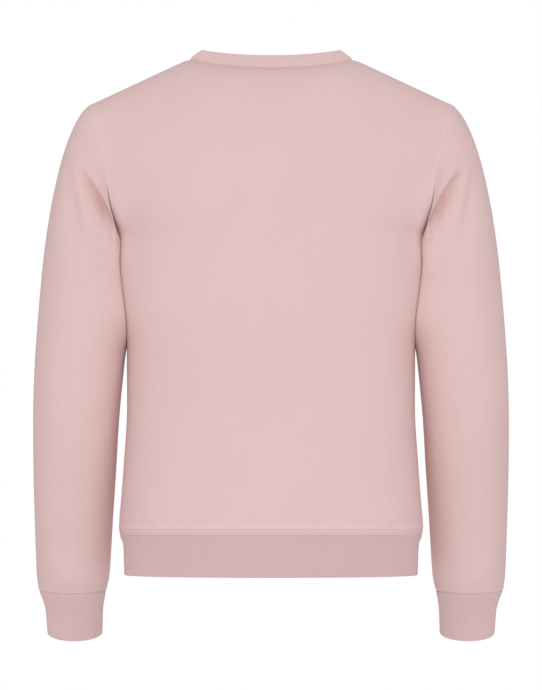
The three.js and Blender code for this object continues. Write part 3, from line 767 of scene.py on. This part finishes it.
def make_sleeve(name, cad_node, mirror):
    grid = crease_cloth(clear_of_body(sleeve_grid()), ("both", "sleeve"))
    normal = normals_of(grid, False)
    from_cuff, from_armhole = distance_from(grid)
    # Each seam adds height and painted light: a painted highlight on ridges, painted shade in grooves.
    height, light_shade = (
        at_cuff + at_armhole + at_underarm
        for at_cuff, at_armhole, at_underarm in zip(
            beside_seam("ridged", from_cuff),
            beside_seam("flat", from_armhole),
            beside_seam("flat", distance_from_sides(grid)),
        )
    )
    outside = grid + normal * height[..., None]
    if mirror:
        outside, normal, light_shade = mirrored(outside), mirrored(normal), light_shade[:, ::-1]
    across, up = cloth_places(outside, grid.shape[0] // 2, grid.shape[1] // 2)
    sleeve = sheet_of_cloth(name, outside, normal, FLEECE_THICKNESS, across, up, light_shade)
    stands_for(sleeve, cad_node)
    print(name, "grid", grid.shape[:2], "faces", len(sleeve.data.polygons))
    return sleeve


left_sleeve = make_sleeve("left_sleeve", "sleeve_left", False)
right_sleeve = make_sleeve("right_sleeve", "sleeve_right", True)

# %% [markdown]
# ## Rib bands
# One by one rib has a raised column of stitches, then a sunk one, and pulls the cloth in like a
# spring. Each band is a strip folded double, so its free edge is a soft fold and not a cut. We
# make the strip as a tube: up the outside, over the fold, and back inside. The ribs are real
# relief, because at 2.6 mm apart they show in the outline. They are counted along the band, and
# the same number runs its whole length, so that they spread where the band is stretched.

# %% Rib sizes
RIB_PITCH = 2.6
RIB_THICKNESS = 2.3
RIB_RELIEF = 0.34
POINTS_A_RIB = 8
RIB_ROUNDNESS = 0.7
RIBS_GROW = (0.3, 2.2)
RIB_WANDER = {"size": 0.05, "up": 0.35, "round": 0.9}
FOLD_RADIUS = RIB_THICKNESS / 2
FOLD_TURNS = np.radians([25, 55, 90, 125, 155])
FOLD_ROWS_OUTSIDE = 3
INSIDE_RELIEF = 0.45


def rib_profile(share):
    """Height of one rib: a full round ridge with a narrow valley on each side."""
    return 2 * np.abs(np.sin(math.pi * share)) ** RIB_ROUNDNESS - 1


def closed(loop):
    return np.concatenate([loop, loop[:1]])


def even_loop(loop, count):
    """Points spaced evenly round a closed line."""
    at = length_along(closed(loop))
    return points_along(closed(loop), at, np.arange(count) / count * at[-1])


# %% Make a rib band
def make_band(name, cad_node, loops, climbs=False):
    """A doubled tube of rib; its loops run from the seam down to the fold, or up if it climbs."""
    lengths = [np.linalg.norm(np.diff(closed(loop), axis=0), axis=1).sum() for loop in loops]
    ribs = int(round(lengths[len(lengths) // 2] / RIB_PITCH))
    band = np.array([even_loop(loop, ribs * POINTS_A_RIB) for loop in loops])
    normal = normals_of(band, True) if climbs else normals_of(band[::-1], True)[::-1]
    edge, edge_normal = band[-1], normal[-1]
    heading = unit(edge - band[-2])
    fold_normal = [edge_normal * math.cos(turn) + heading * math.sin(turn) for turn in FOLD_TURNS]
    fold = [edge - edge_normal * FOLD_RADIUS + way * FOLD_RADIUS for way in fold_normal]
    profile = np.concatenate([band, fold, (band - normal * RIB_THICKNESS)[::-1]])
    facing = np.concatenate([normal, fold_normal, -normal[::-1]])
    along = np.append(0, np.cumsum(np.linalg.norm(np.diff(profile, axis=0), axis=2).mean(axis=1)))
    shows = np.arange(len(profile)) < len(band) + FOLD_ROWS_OUTSIDE
    relief = np.where(shows, RIB_RELIEF, RIB_RELIEF * INSIDE_RELIEF)
    relief *= fade(along, *RIBS_GROW) * fade(along[-1] - along, *RIBS_GROW)
    share = np.arange(ribs * POINTS_A_RIB) / POINTS_A_RIB
    wave = along[:, None] * RIB_WANDER["up"] + share[None, :] * RIB_WANDER["round"]
    # The band seam gets painted shade along its line.
    seam_height, seam_light_shade = beside_seam("band", along[:, None])
    height = relief[:, None] * rib_profile(share[None, :] + RIB_WANDER["size"] * np.sin(wave)) + seam_height
    surface = profile + facing * height[..., None]
    rows, columns = surface.shape[:2]
    index, up = np.arange(rows * columns).reshape(rows, columns), along
    if not climbs:
        index, up = index[::-1], up[::-1]
    across = np.arange(columns + 1) / POINTS_A_RIB * RIB_PITCH
    tube = quads(index, across, up, True)
    rim = quads(np.stack([index[-1], index[0]]), across, np.array([0.0, RIB_THICKNESS]), True)
    faces, flat = (np.concatenate(pair) for pair in zip(tube, rim))
    flats = np.arange(len(faces)) >= len(tube[0])
    light_shade = np.repeat(seam_light_shade, columns, axis=1)
    made = as_object(name, surface.reshape(-1, 3), faces, np.zeros(len(faces)), flats, flat, light_shade)
    stands_for(made, cad_node)
    print(name, "ribs", ribs, "girth", [round(length) for length in lengths], "faces", len(faces))
    return made, lengths


# %% [markdown]
# ### Hem band
# The band starts at the hem seam, pulls in over its first 12 mm and hangs straight to its fold,
# 48 mm below. Its back hangs 3 mm lower, because the body leans.

# %% Hem band
HEM_BAND = table("drop narrower shallower", (0, 0, 0), (12, 4.4, 2.8), (48, 5.6, 4))
HEM_BAND_DROPS = (0, 0.8, 1.8, 3.2, 5, 8, 12, 17, 23, 29, 35, 41, 46.8)
HEM_BACK_EXTRA_DROP = 3.0
QUARTER_POINTS = 240


def around(make):
    """A loop from the wearer's left by the back to the right, and home by the front."""
    quarter = np.linspace(0, 1, QUARTER_POINTS)
    back, front = make("back", quarter), make("front", quarter)
    return np.concatenate([back[::-1], (back * MIRROR)[1:], (front * MIRROR)[::-1][1:], front[1:-1]])


hem_seam_loop = around(lambda side, share: torso_at(side, body_turn(share), HEM_SEAM_Z))
narrower, shallower = (curve(HEM_BAND, "drop", name) for name in ("narrower", "shallower"))
hem_loops = []
for drop in HEM_BAND_DROPS:
    x, y, z = hem_seam_loop.T
    behind = (y / TORSO["back"][0]).clip(0)
    hem_loops.append(
        points(
            x * (1 - narrower(drop) / TORSO["half_width"][0]),
            y * (1 - shallower(drop) / TORSO["back"][0]),
            z - drop - HEM_BACK_EXTRA_DROP * behind * drop / HEM_BAND["drop"][-1],
        )
    )
hem_rib, hem_girths = make_band("hem_rib", "hem_band", hem_loops)

# %% [markdown]
# ### Cuffs
# A cuff takes the wide end of the sleeve in to the wrist. Its rings come from the same kind of
# chart as the sleeve's, and it tilts with the forearm.

# %% Cuffs
CUFF_FALLS = (0, 0.8, 1.8, 3.2, 5.2, 8, 12, 17, 23, 30, 37, 44, 50, 53.6)
CUFF_TURNS = 480
cuff_ring = rings_of(CUFF)
cuff_turns = np.linspace(0, 2 * math.pi, CUFF_TURNS, endpoint=False)
cuff_loops = [ring_at(cuff_ring, CUFF_SEAM_Z - fall, cuff_turns) for fall in CUFF_FALLS]
right_cuff_loops = [(loop * MIRROR)[::-1] for loop in cuff_loops]
left_cuff, cuff_girths = make_band("left_cuff_rib", "cuff_left", cuff_loops)
right_cuff, _ = make_band("right_cuff_rib", "cuff_right", right_cuff_loops)

# %% [markdown]
# ### Collar
# The collar is a narrow ring that stands up from the neckline and leans in. It is cut shorter
# than the neckline and stretched on to it, which makes it hug the neck.

# %% Collar
COLLAR_TOP_HALF_WIDTH = 83.0
COLLAR_TOP_Z = {"side": 12.8, "back": 4.3, "front": -61.0}
COLLAR_TOP_REACH = {"back": 31.0, "front": -58.0}
COLLAR_SWELL = 1.5
COLLAR_SHARES = (0, 0.04, 0.09, 0.16, 0.26, 0.38, 0.5, 0.62, 0.74, 0.86, 0.94)


def collar_top(side, share):
    turn = neck_turn[side](share)
    dip = np.cos(turn).clip(0)
    return points(
        COLLAR_TOP_HALF_WIDTH * np.sin(turn),
        COLLAR_TOP_REACH[side] * dip,
        mix(COLLAR_TOP_Z["side"], COLLAR_TOP_Z[side], dip**NECK_DIP),
    )


neck_loop = around(lambda side, share: neck_seam(side, neck_turn[side](share)))
top_loop = around(collar_top)
plan_way = unit((neck_loop + top_loop) * (1, 1, 0))
collar_loops = [
    mix(neck_loop, top_loop, share) + COLLAR_SWELL * 4 * share * (1 - share) * plan_way
    for share in COLLAR_SHARES
]
collar_rib, collar_girths = make_band("collar_rib", "neck_band", collar_loops, climbs=True)

# %% [markdown]
# ## Needle lines
# The hem seam is held down by a twin needle: two rows of lockstitch, 3.8 mm apart. Each stitch is
# a short piece of thread that rises from one needle hole and dives into the next, so we lay a
# small six-sided capsule on the cloth for each, sunk at both ends.

# %% Stitches of the hem
STITCH_LENGTH = 3.0
STITCH_GAP = 0.45
THREAD_RADIUS = 0.27
STITCH_SHAPE = table(
    "along width lift",
    (0.0, 0.25, -0.28),
    (0.14, 0.85, 0.02),
    (0.5, 1.0, 0.16),
    (0.86, 0.85, 0.02),
    (1.0, 0.25, -0.28),
)
STITCH_SIDES = 6


def stitch_line(line, normal):
    """Capsules of thread along a line of points on the cloth."""
    at = length_along(line)
    count = int(at[-1] / (STITCH_LENGTH + STITCH_GAP))
    starts = (np.arange(count) + 0.5) * at[-1] / count - STITCH_LENGTH / 2
    wanted = starts[:, None] + STITCH_SHAPE["along"][None, :] * STITCH_LENGTH
    centre, out = points_along(line, at, wanted), points_along(normal, at, wanted)
    aside = np.cross(unit(np.gradient(centre, axis=1)), out)
    turn = np.arange(STITCH_SIDES) * 2 * math.pi / STITCH_SIDES
    spoke = out[..., None, :] * np.cos(turn)[:, None] + aside[..., None, :] * np.sin(turn)[:, None]
    width = (THREAD_RADIUS * STITCH_SHAPE["width"])[None, :, None, None]
    lift = out * STITCH_SHAPE["lift"][None, :, None]
    return (centre + lift)[..., None, :] + spoke * width


def make_stitches(name, lines):
    rings = np.concatenate([stitch_line(line, normal) for line, normal in lines])
    count, tall = rings.shape[:2]
    one = np.arange(tall * STITCH_SIDES).reshape(tall, STITCH_SIDES)
    faces = quads(one, np.zeros(STITCH_SIDES + 1), np.zeros(tall), True)[0]
    caps = [one[0, [0, 1, 2, 3]], one[0, [0, 3, 4, 5]], one[-1, [3, 2, 1, 0]], one[-1, [5, 4, 3, 0]]]
    faces = np.concatenate([faces[:, ::-1], np.array(caps)])
    every = (faces[None] + (np.arange(count) * one.size)[:, None, None]).reshape(-1, 4)
    flat = np.zeros((len(every), 4, 2))
    none = np.zeros(len(every))
    light_shade = np.zeros(rings.size // 3)
    made = as_object(name, rings.reshape(-1, 3), every, none, none > 0, flat, light_shade)
    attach(made, "root")
    print(name, "stitches", count)
    return made


needle_rows = [HEM_DISTANCES.index(line) for line in NEEDLE_LINES]
needle_lines = [
    (outside[row], normal[row])
    for outside, normal in ((back_outside, back_normal), (front_outside, front_normal))
    for row in needle_rows
]
hem_stitches = make_stitches("hem_stitches", needle_lines)

# %% [markdown]
# ## Effects that finishes share
# The fleece, its brushed inside, the rib and the thread are all cotton yarn, so they share three
# effects. Each is a node group, made once and placed in a material with its own values: columns of
# knit stitches, a nap of loose fibres, and the slow change of tone that dyed cloth has. A group
# gives only heights and shades, and the material does the rest.


# %% A helper for node trees
def node(tree, kind, inputs=(), **settings):
    made = tree.nodes.new(kind)
    for name, value in settings.items():
        setattr(made, name, value)
    for slot, value in dict(inputs).items():
        if isinstance(value, bpy.types.NodeSocket):
            tree.links.new(value, made.inputs[slot])
        else:
            made.inputs[slot].default_value = value
    return made


def math_node(tree, operation, first, second=0.0, third=0.0):
    return node(tree, "ShaderNodeMath", {0: first, 1: second, 2: third}, operation=operation).outputs[0]


def noise(tree, place, scale, **more):
    """Smooth noise round one half, placed by a vector."""
    return node(tree, "ShaderNodeTexNoise", {"Vector": place, "Scale": scale, **more}).outputs[0]


def effect(name, inputs, outputs):
    """A node group with named inputs (their kind and usual value) and number outputs."""
    tree = bpy.data.node_groups.new(name, "ShaderNodeTree")
    for label, (kind, usual) in inputs.items():
        socket = tree.interface.new_socket(label, in_out="INPUT", socket_type=kind)
        if usual is not None:
            socket.default_value = usual
    for label in outputs:
        tree.interface.new_socket(label, in_out="OUTPUT", socket_type="NodeSocketFloat")
    return tree, tree.nodes.new("NodeGroupInput").outputs, tree.nodes.new("NodeGroupOutput").inputs


# %% [markdown]
# ### Knit stitches
# Plain knit shows columns of small V shapes. We count columns across the cloth and courses up it.
# Within a column, the distance from its middle lifts the course count, which bends a straight row
# into a V. Each arm of the V is round, so its height is a small arch across and along. Its shade
# follows that arch, capped near the top, so the low gaps between the arms get painted shade.

# %% Knit stitches
V_CLIMB = 0.75
ARM_TOP = 0.75
ARM_TOP_SOFTNESS = 0.3


def knit_stitches():
    tree, given, gives = effect(
        "knit_stitches",
        {
            "Cloth Place": ("NodeSocketVector", None),
            "Column Width": ("NodeSocketFloat", 0.0012),
            "Course Height": ("NodeSocketFloat", 0.0009),
        },
        ("Height", "Shade"),
    )
    place = node(tree, "ShaderNodeSeparateXYZ", {0: given["Cloth Place"]}).outputs
    column = math_node(tree, "DIVIDE", place["X"], given["Column Width"])
    course = math_node(tree, "DIVIDE", place["Y"], given["Course Height"])
    from_middle = math_node(tree, "MULTIPLY", math_node(tree, "PINGPONG", column, 0.5), 2.0)
    in_course = math_node(tree, "FRACT", math_node(tree, "MULTIPLY_ADD", from_middle, V_CLIMB, course))
    along_arm = math_node(tree, "SINE", math_node(tree, "MULTIPLY", in_course, math.pi))
    across_arm = math_node(tree, "SINE", math_node(tree, "MULTIPLY", from_middle, math.pi))
    arch = math_node(tree, "SQRT", math_node(tree, "MULTIPLY", along_arm, across_arm))
    tree.links.new(arch, gives["Height"])
    # The Shade output follows the arch, so it paints shade into the low gaps between the stitch arms.
    tree.links.new(math_node(tree, "SMOOTH_MIN", arch, ARM_TOP, ARM_TOP_SOFTNESS), gives["Shade"])
    return tree


knit = knit_stitches()
print("Effect made:", knit.name, len(knit.nodes), "nodes")

# %% [markdown]
# ### Nap
# Loose fibres stand up from the yarn and blur the stitches. Two layers of noise do this: fine
# fibres, and soft tufts a few times larger. The noise is placed by the cloth's own position in
# space, which suits every piece and needs no seams.

# %% Nap of loose fibres
TUFTS_A_FIBRE = 0.28
TUFT_HEIGHT = 0.5


def loose_fibres():
    tree, given, gives = effect(
        "loose_fibres",
        {"Position": ("NodeSocketVector", None), "Fibres a Metre": ("NodeSocketFloat", 1500.0)},
        ("Height", "Shade"),
    )
    fine = noise(tree, given["Position"], given["Fibres a Metre"], Detail=3.0, Roughness=0.6)
    tuft_scale = math_node(tree, "MULTIPLY", given["Fibres a Metre"], TUFTS_A_FIBRE)
    tufts = noise(tree, given["Position"], tuft_scale, Detail=2.0, Distortion=0.6)
    tree.links.new(math_node(tree, "MULTIPLY_ADD", tufts, TUFT_HEIGHT, fine), gives["Height"])
    both_layers = math_node(tree, "ADD", tufts, fine)
    tree.links.new(math_node(tree, "MULTIPLY", both_layers, 0.5), gives["Shade"])
    return tree


nap = loose_fibres()
print("Effect made:", nap.name, len(nap.nodes), "nodes")

# %% [markdown]
# ### Slow tone
# Dye takes unevenly, and cloth that has been handled is a touch lighter where it was rubbed. The
# change is slow, over a hand's breadth, with faint streaks along the columns of the knit.

# %% Slow tone
BROAD_CHANGES_A_METRE = 9.0
STREAKS_A_METRE = (420.0, 16.0, 1.0)
STREAK_WEIGHT = 0.45


def slow_tone():
    tree, given, gives = effect(
        "slow_tone",
        {"Position": ("NodeSocketVector", None), "Cloth Place": ("NodeSocketVector", None)},
        ("Shade",),
    )
    broad = noise(tree, given["Position"], BROAD_CHANGES_A_METRE, Detail=2.0)
    spread = {"Vector": given["Cloth Place"], "Scale": STREAKS_A_METRE}
    streaks = noise(tree, node(tree, "ShaderNodeMapping", spread).outputs[0], 1.0, Detail=2.0)
    tree.links.new(math_node(tree, "MULTIPLY_ADD", streaks, STREAK_WEIGHT, broad), gives["Shade"])
    return tree


dye = slow_tone()
print("Effect made:", dye.name, len(dye.nodes), "nodes")

# %% [markdown]
# ## Finishes
# A finish mixes a deeper and a lighter shade of the same dye, by the sum of the small effects,
# each taken from its middle value and given a weight; the knit's share is painted shade between
# the stitch arms. The seam value that each point carries is painted light: a painted highlight on
# ridges and painted shade in stitched lines and seam grooves. Roughness changes a little with the
# nap, and all heights together make one bump. Sheen, the light fuzz of cotton at a glancing angle,
# is the same all over, so it is set on the shader itself.

# %% A finish for knit cloth
EVEN_MIX = 0.5
SEAM_LIGHT_SHADE_WEIGHT = 0.42
SLOW_TONE_WEIGHT = 0.35
USUAL_SHADE = {"knit": 0.55, "nap": 0.5, "dye": 0.72}
LEAST_ROUGHNESS = 0.82
NAP_ROUGHNESS = 0.16
NAP_HEIGHT = 0.6
EVEN_LOOKS = {
    "Sheen Roughness": 0.5,
    "Sheen Tint": (1.0, 0.93, 0.92, 1.0),
    "Specular IOR Level": 0.2,
}


def new_material(name):
    material = bpy.data.materials.new(name)
    material.use_nodes = True
    return material, next(n for n in material.node_tree.nodes if n.type == "BSDF_PRINCIPLED")


def cloth_finish(name, deep, light, knit_size, knit_weight, nap_fibres, nap_weight, bump_height, sheen):
    material, shader = new_material(name)
    tree = material.node_tree
    cloth_place = node(tree, "ShaderNodeUVMap", uv_map="cloth").outputs[0]
    position = node(tree, "ShaderNodeTexCoord").outputs["Object"]
    seam = node(tree, "ShaderNodeAttribute", attribute_name="seam_light_shade").outputs["Fac"]
    sizes = {"Cloth Place": cloth_place, "Column Width": knit_size[0], "Course Height": knit_size[1]}
    stitches = node(tree, "ShaderNodeGroup", sizes, node_tree=knit).outputs
    sizes = {"Position": position, "Fibres a Metre": nap_fibres}
    fibres = node(tree, "ShaderNodeGroup", sizes, node_tree=nap).outputs
    places = {"Position": position, "Cloth Place": cloth_place}
    slow = node(tree, "ShaderNodeGroup", places, node_tree=dye).outputs
    # The seam attribute puts painted light into the colour: a painted highlight on ridges, painted shade in
    # grooves and needle lines.
    amount = math_node(tree, "MULTIPLY_ADD", seam, SEAM_LIGHT_SHADE_WEIGHT, EVEN_MIX)
    # The knit's shade is painted shade between stitch arms; the nap and the dye vary at random.
    for shade, weight, usual in (
        (stitches["Shade"], knit_weight, USUAL_SHADE["knit"]),
        (fibres["Shade"], nap_weight, USUAL_SHADE["nap"]),
        (slow["Shade"], SLOW_TONE_WEIGHT, USUAL_SHADE["dye"]),
    ):
        apart = math_node(tree, "SUBTRACT", shade, usual)
        amount = math_node(tree, "MULTIPLY_ADD", apart, weight, amount)
    shades = {"Factor": amount, "A": deep, "B": light}
    colour = node(tree, "ShaderNodeMix", shades, data_type="RGBA").outputs["Result"]
    roughness = math_node(tree, "MULTIPLY_ADD", fibres["Shade"], NAP_ROUGHNESS, LEAST_ROUGHNESS)
    height = math_node(tree, "MULTIPLY_ADD", fibres["Height"], NAP_HEIGHT, stitches["Height"])
    relief = node(tree, "ShaderNodeBump", {"Height": height, "Distance": bump_height, "Strength": 0.8})
    tree.links.new(colour, shader.inputs["Base Color"])
    tree.links.new(roughness, shader.inputs["Roughness"])
    tree.links.new(relief.outputs["Normal"], shader.inputs["Normal"])
    for label, value in {"Sheen Weight": sheen, **EVEN_LOOKS}.items():
        shader.inputs[label].default_value = value
    print("Finish made:", name)
    return material


# %% [markdown]
# ### Finishes of one dye
# The face of the fleece is fine knit with a soft nap. Its inside is brushed until no stitch shows.
# The rib is a tighter knit whose sunk columns lie in shade. Its three finishes are lit and shaded
# copies of one dye: painted shade makes the hem deepest, where the light falls off at the bottom,
# and the cuffs a little less deep, while the collar, where stretching opens the columns, gets
# painted light from above. The thread is dyed to match.

# %% Finishes of the garment
fleece_face = cloth_finish(
    "fleece_face",
    deep=(0.695, 0.487, 0.475, 1),
    light=(0.825, 0.607, 0.592, 1),
    knit_size=(0.00125, 0.00095),
    knit_weight=0.22,
    nap_fibres=1300.0,
    nap_weight=0.5,
    bump_height=0.00012,
    sheen=0.06,
)
fleece_inside = cloth_finish(
    "fleece_inside",
    deep=(0.705, 0.50, 0.49, 1),
    light=(0.85, 0.64, 0.625, 1),
    knit_size=(0.0025, 0.0025),
    knit_weight=0.04,
    nap_fibres=700.0,
    nap_weight=0.9,
    bump_height=0.0005,
    sheen=0.12,
)
RIB_KNIT = {
    "knit_size": (0.0026, 0.0013),
    "knit_weight": 0.3,
    "nap_fibres": 1500.0,
    "nap_weight": 0.45,
    "bump_height": 0.00016,
    "sheen": 0.05,
}
# The three rib finishes are one dye with painted light: painted shade deepens the hem most and the cuffs
# less, and the collar is lighter with painted light from above.
hem_painted_shade_finish = cloth_finish(
    "hem_rib_painted_shade", deep=(0.60, 0.414, 0.408, 1), light=(0.735, 0.534, 0.526, 1), **RIB_KNIT
)
cuff_painted_shade_finish = cloth_finish(
    "cuff_rib_painted_shade", deep=(0.64, 0.452, 0.445, 1), light=(0.784, 0.583, 0.574, 1), **RIB_KNIT
)
collar_painted_light_finish = cloth_finish(
    "collar_rib_painted_light", deep=(0.69, 0.49, 0.481, 1), light=(0.843, 0.63, 0.62, 1), **RIB_KNIT
)
thread = cloth_finish(
    "thread",
    deep=(0.62, 0.42, 0.41, 1),
    light=(0.78, 0.56, 0.545, 1),
    knit_size=(0.0004, 0.0004),
    knit_weight=0.1,
    nap_fibres=2500.0,
    nap_weight=0.3,
    bump_height=0.00005,
    sheen=0.05,
)
for piece in (back_panel, front_panel, left_sleeve, right_sleeve):
    piece.data.materials.append(fleece_face)
    piece.data.materials.append(fleece_inside)
for piece, finish in (
    (hem_rib, hem_painted_shade_finish),
    (left_cuff, cuff_painted_shade_finish),
    (right_cuff, cuff_painted_shade_finish),
    (collar_rib, collar_painted_light_finish),
):
    piece.data.materials.append(finish)
hem_stitches.data.materials.append(thread)
shown = [back_panel, front_panel, left_sleeve, right_sleeve, hem_rib, left_cuff, right_cuff, collar_rib]
triangles = {piece.name: 2 * len(piece.data.polygons) for piece in [*shown, hem_stitches]}
print("Triangles:", triangles, "in all", sum(triangles.values()))

# %% [markdown]
# ## What each piece was cut from
# Cloth hardly stretches when it hangs, so each piece has about the size it was cut to. A panel is
# as wide as half the chest is round, and as long as its longest column. A sleeve is as wide as it
# is round at its widest. A band counts what shows of it, all round; folded inside, it is as much
# again. The real cut adds a seam allowance on every edge.

# %% [markdown]
# ## Floor, light and camera
# The garment hangs from the shoulders that wear it, so it stands clear of the floor, a pale disc
# below it. A studio for clothes is white all round: the room gives most of the light, and one large
# soft lamp behind the camera rounds the forms. A weaker one lights the front for other views. The
# camera looks level at the back, from far away, as a catalogue does.

# %% Floor
FLOOR_RADIUS, FLOOR_Z, FLOOR_POINTS = 1.02, -0.86, 96
FLOOR_LOOKS = {"Base Color": (0.93, 0.93, 0.93, 1), "Roughness": 0.8}
floor_mesh = bpy.data.meshes.new("floor")
floor_turns = np.linspace(0, 2 * math.pi, FLOOR_POINTS, endpoint=False)
floor_rim = [(FLOOR_RADIUS * math.cos(turn), FLOOR_RADIUS * math.sin(turn), FLOOR_Z) for turn in floor_turns]
floor_mesh.from_pydata(floor_rim, [], [list(range(FLOOR_POINTS))])
floor = add_to_scene("floor", floor_mesh)
floor_paint, floor_shader = new_material("floor_paint")
for label, value in FLOOR_LOOKS.items():
    floor_shader.inputs[label].default_value = value
floor_mesh.materials.append(floor_paint)
print("Floor:", 2 * FLOOR_RADIUS, "m across,", FLOOR_Z, "m down")

# %% Light
ROOM_LIGHT = 0.7
GARMENT_MIDDLE = (0, 0, -0.35)
LAMP_SIZE = 3.0
world = bpy.data.worlds.new("white_room")
bpy.context.scene.world = world
world.use_nodes = True
sky = world.node_tree
sky.nodes.clear()
lit = node(sky, "ShaderNodeBackground", {"Color": (1, 1, 1, 1), "Strength": ROOM_LIGHT}).outputs[0]
seen = node(sky, "ShaderNodeBackground", {"Color": (1, 1, 1, 1), "Strength": 1.0}).outputs[0]
direct = node(sky, "ShaderNodeLightPath").outputs["Is Camera Ray"]
room = node(sky, "ShaderNodeMixShader", {0: direct, 1: lit, 2: seen}).outputs[0]
node(sky, "ShaderNodeOutputWorld", {"Surface": room})


def soft_lamp(name, place, power):
    """A square lamp that faces the middle of the garment."""
    lamp = bpy.data.lights.new(name, "AREA")
    lamp.size, lamp.energy = LAMP_SIZE, power
    made = add_to_scene(name, lamp)
    made.location = place
    way = np.array(GARMENT_MIDDLE) - np.array(place)
    tilt = math.atan2(math.hypot(way[0], way[1]), -way[2])
    made.rotation_euler = (tilt, 0, math.atan2(way[0], -way[1]) + math.pi)
    print("Lamp:", name, power, "W")


soft_lamp("lamp_behind_camera", place=(0, 5.6, 0.5), power=112)
soft_lamp("lamp_in_front", place=(0, -5.6, -0.1), power=100)

# %% Camera
CAMERA_AWAY = 5.0
CAMERA_HEIGHT = -0.3477
CAMERA_LENS = 213.8
CAMERA_SEES_TO = 50
camera_data = bpy.data.cameras.new("catalogue_camera")
camera_data.lens, camera_data.clip_end = CAMERA_LENS, CAMERA_SEES_TO
camera = add_to_scene("catalogue_camera", camera_data)
camera.location = (0, CAMERA_AWAY, CAMERA_HEIGHT)
camera.rotation_euler = (math.pi / 2, 0, math.pi)
bpy.context.scene.camera = camera
bpy.context.scene.view_settings.view_transform = "Standard"
print("Camera", camera.location[:], "lens", CAMERA_LENS, "mm")
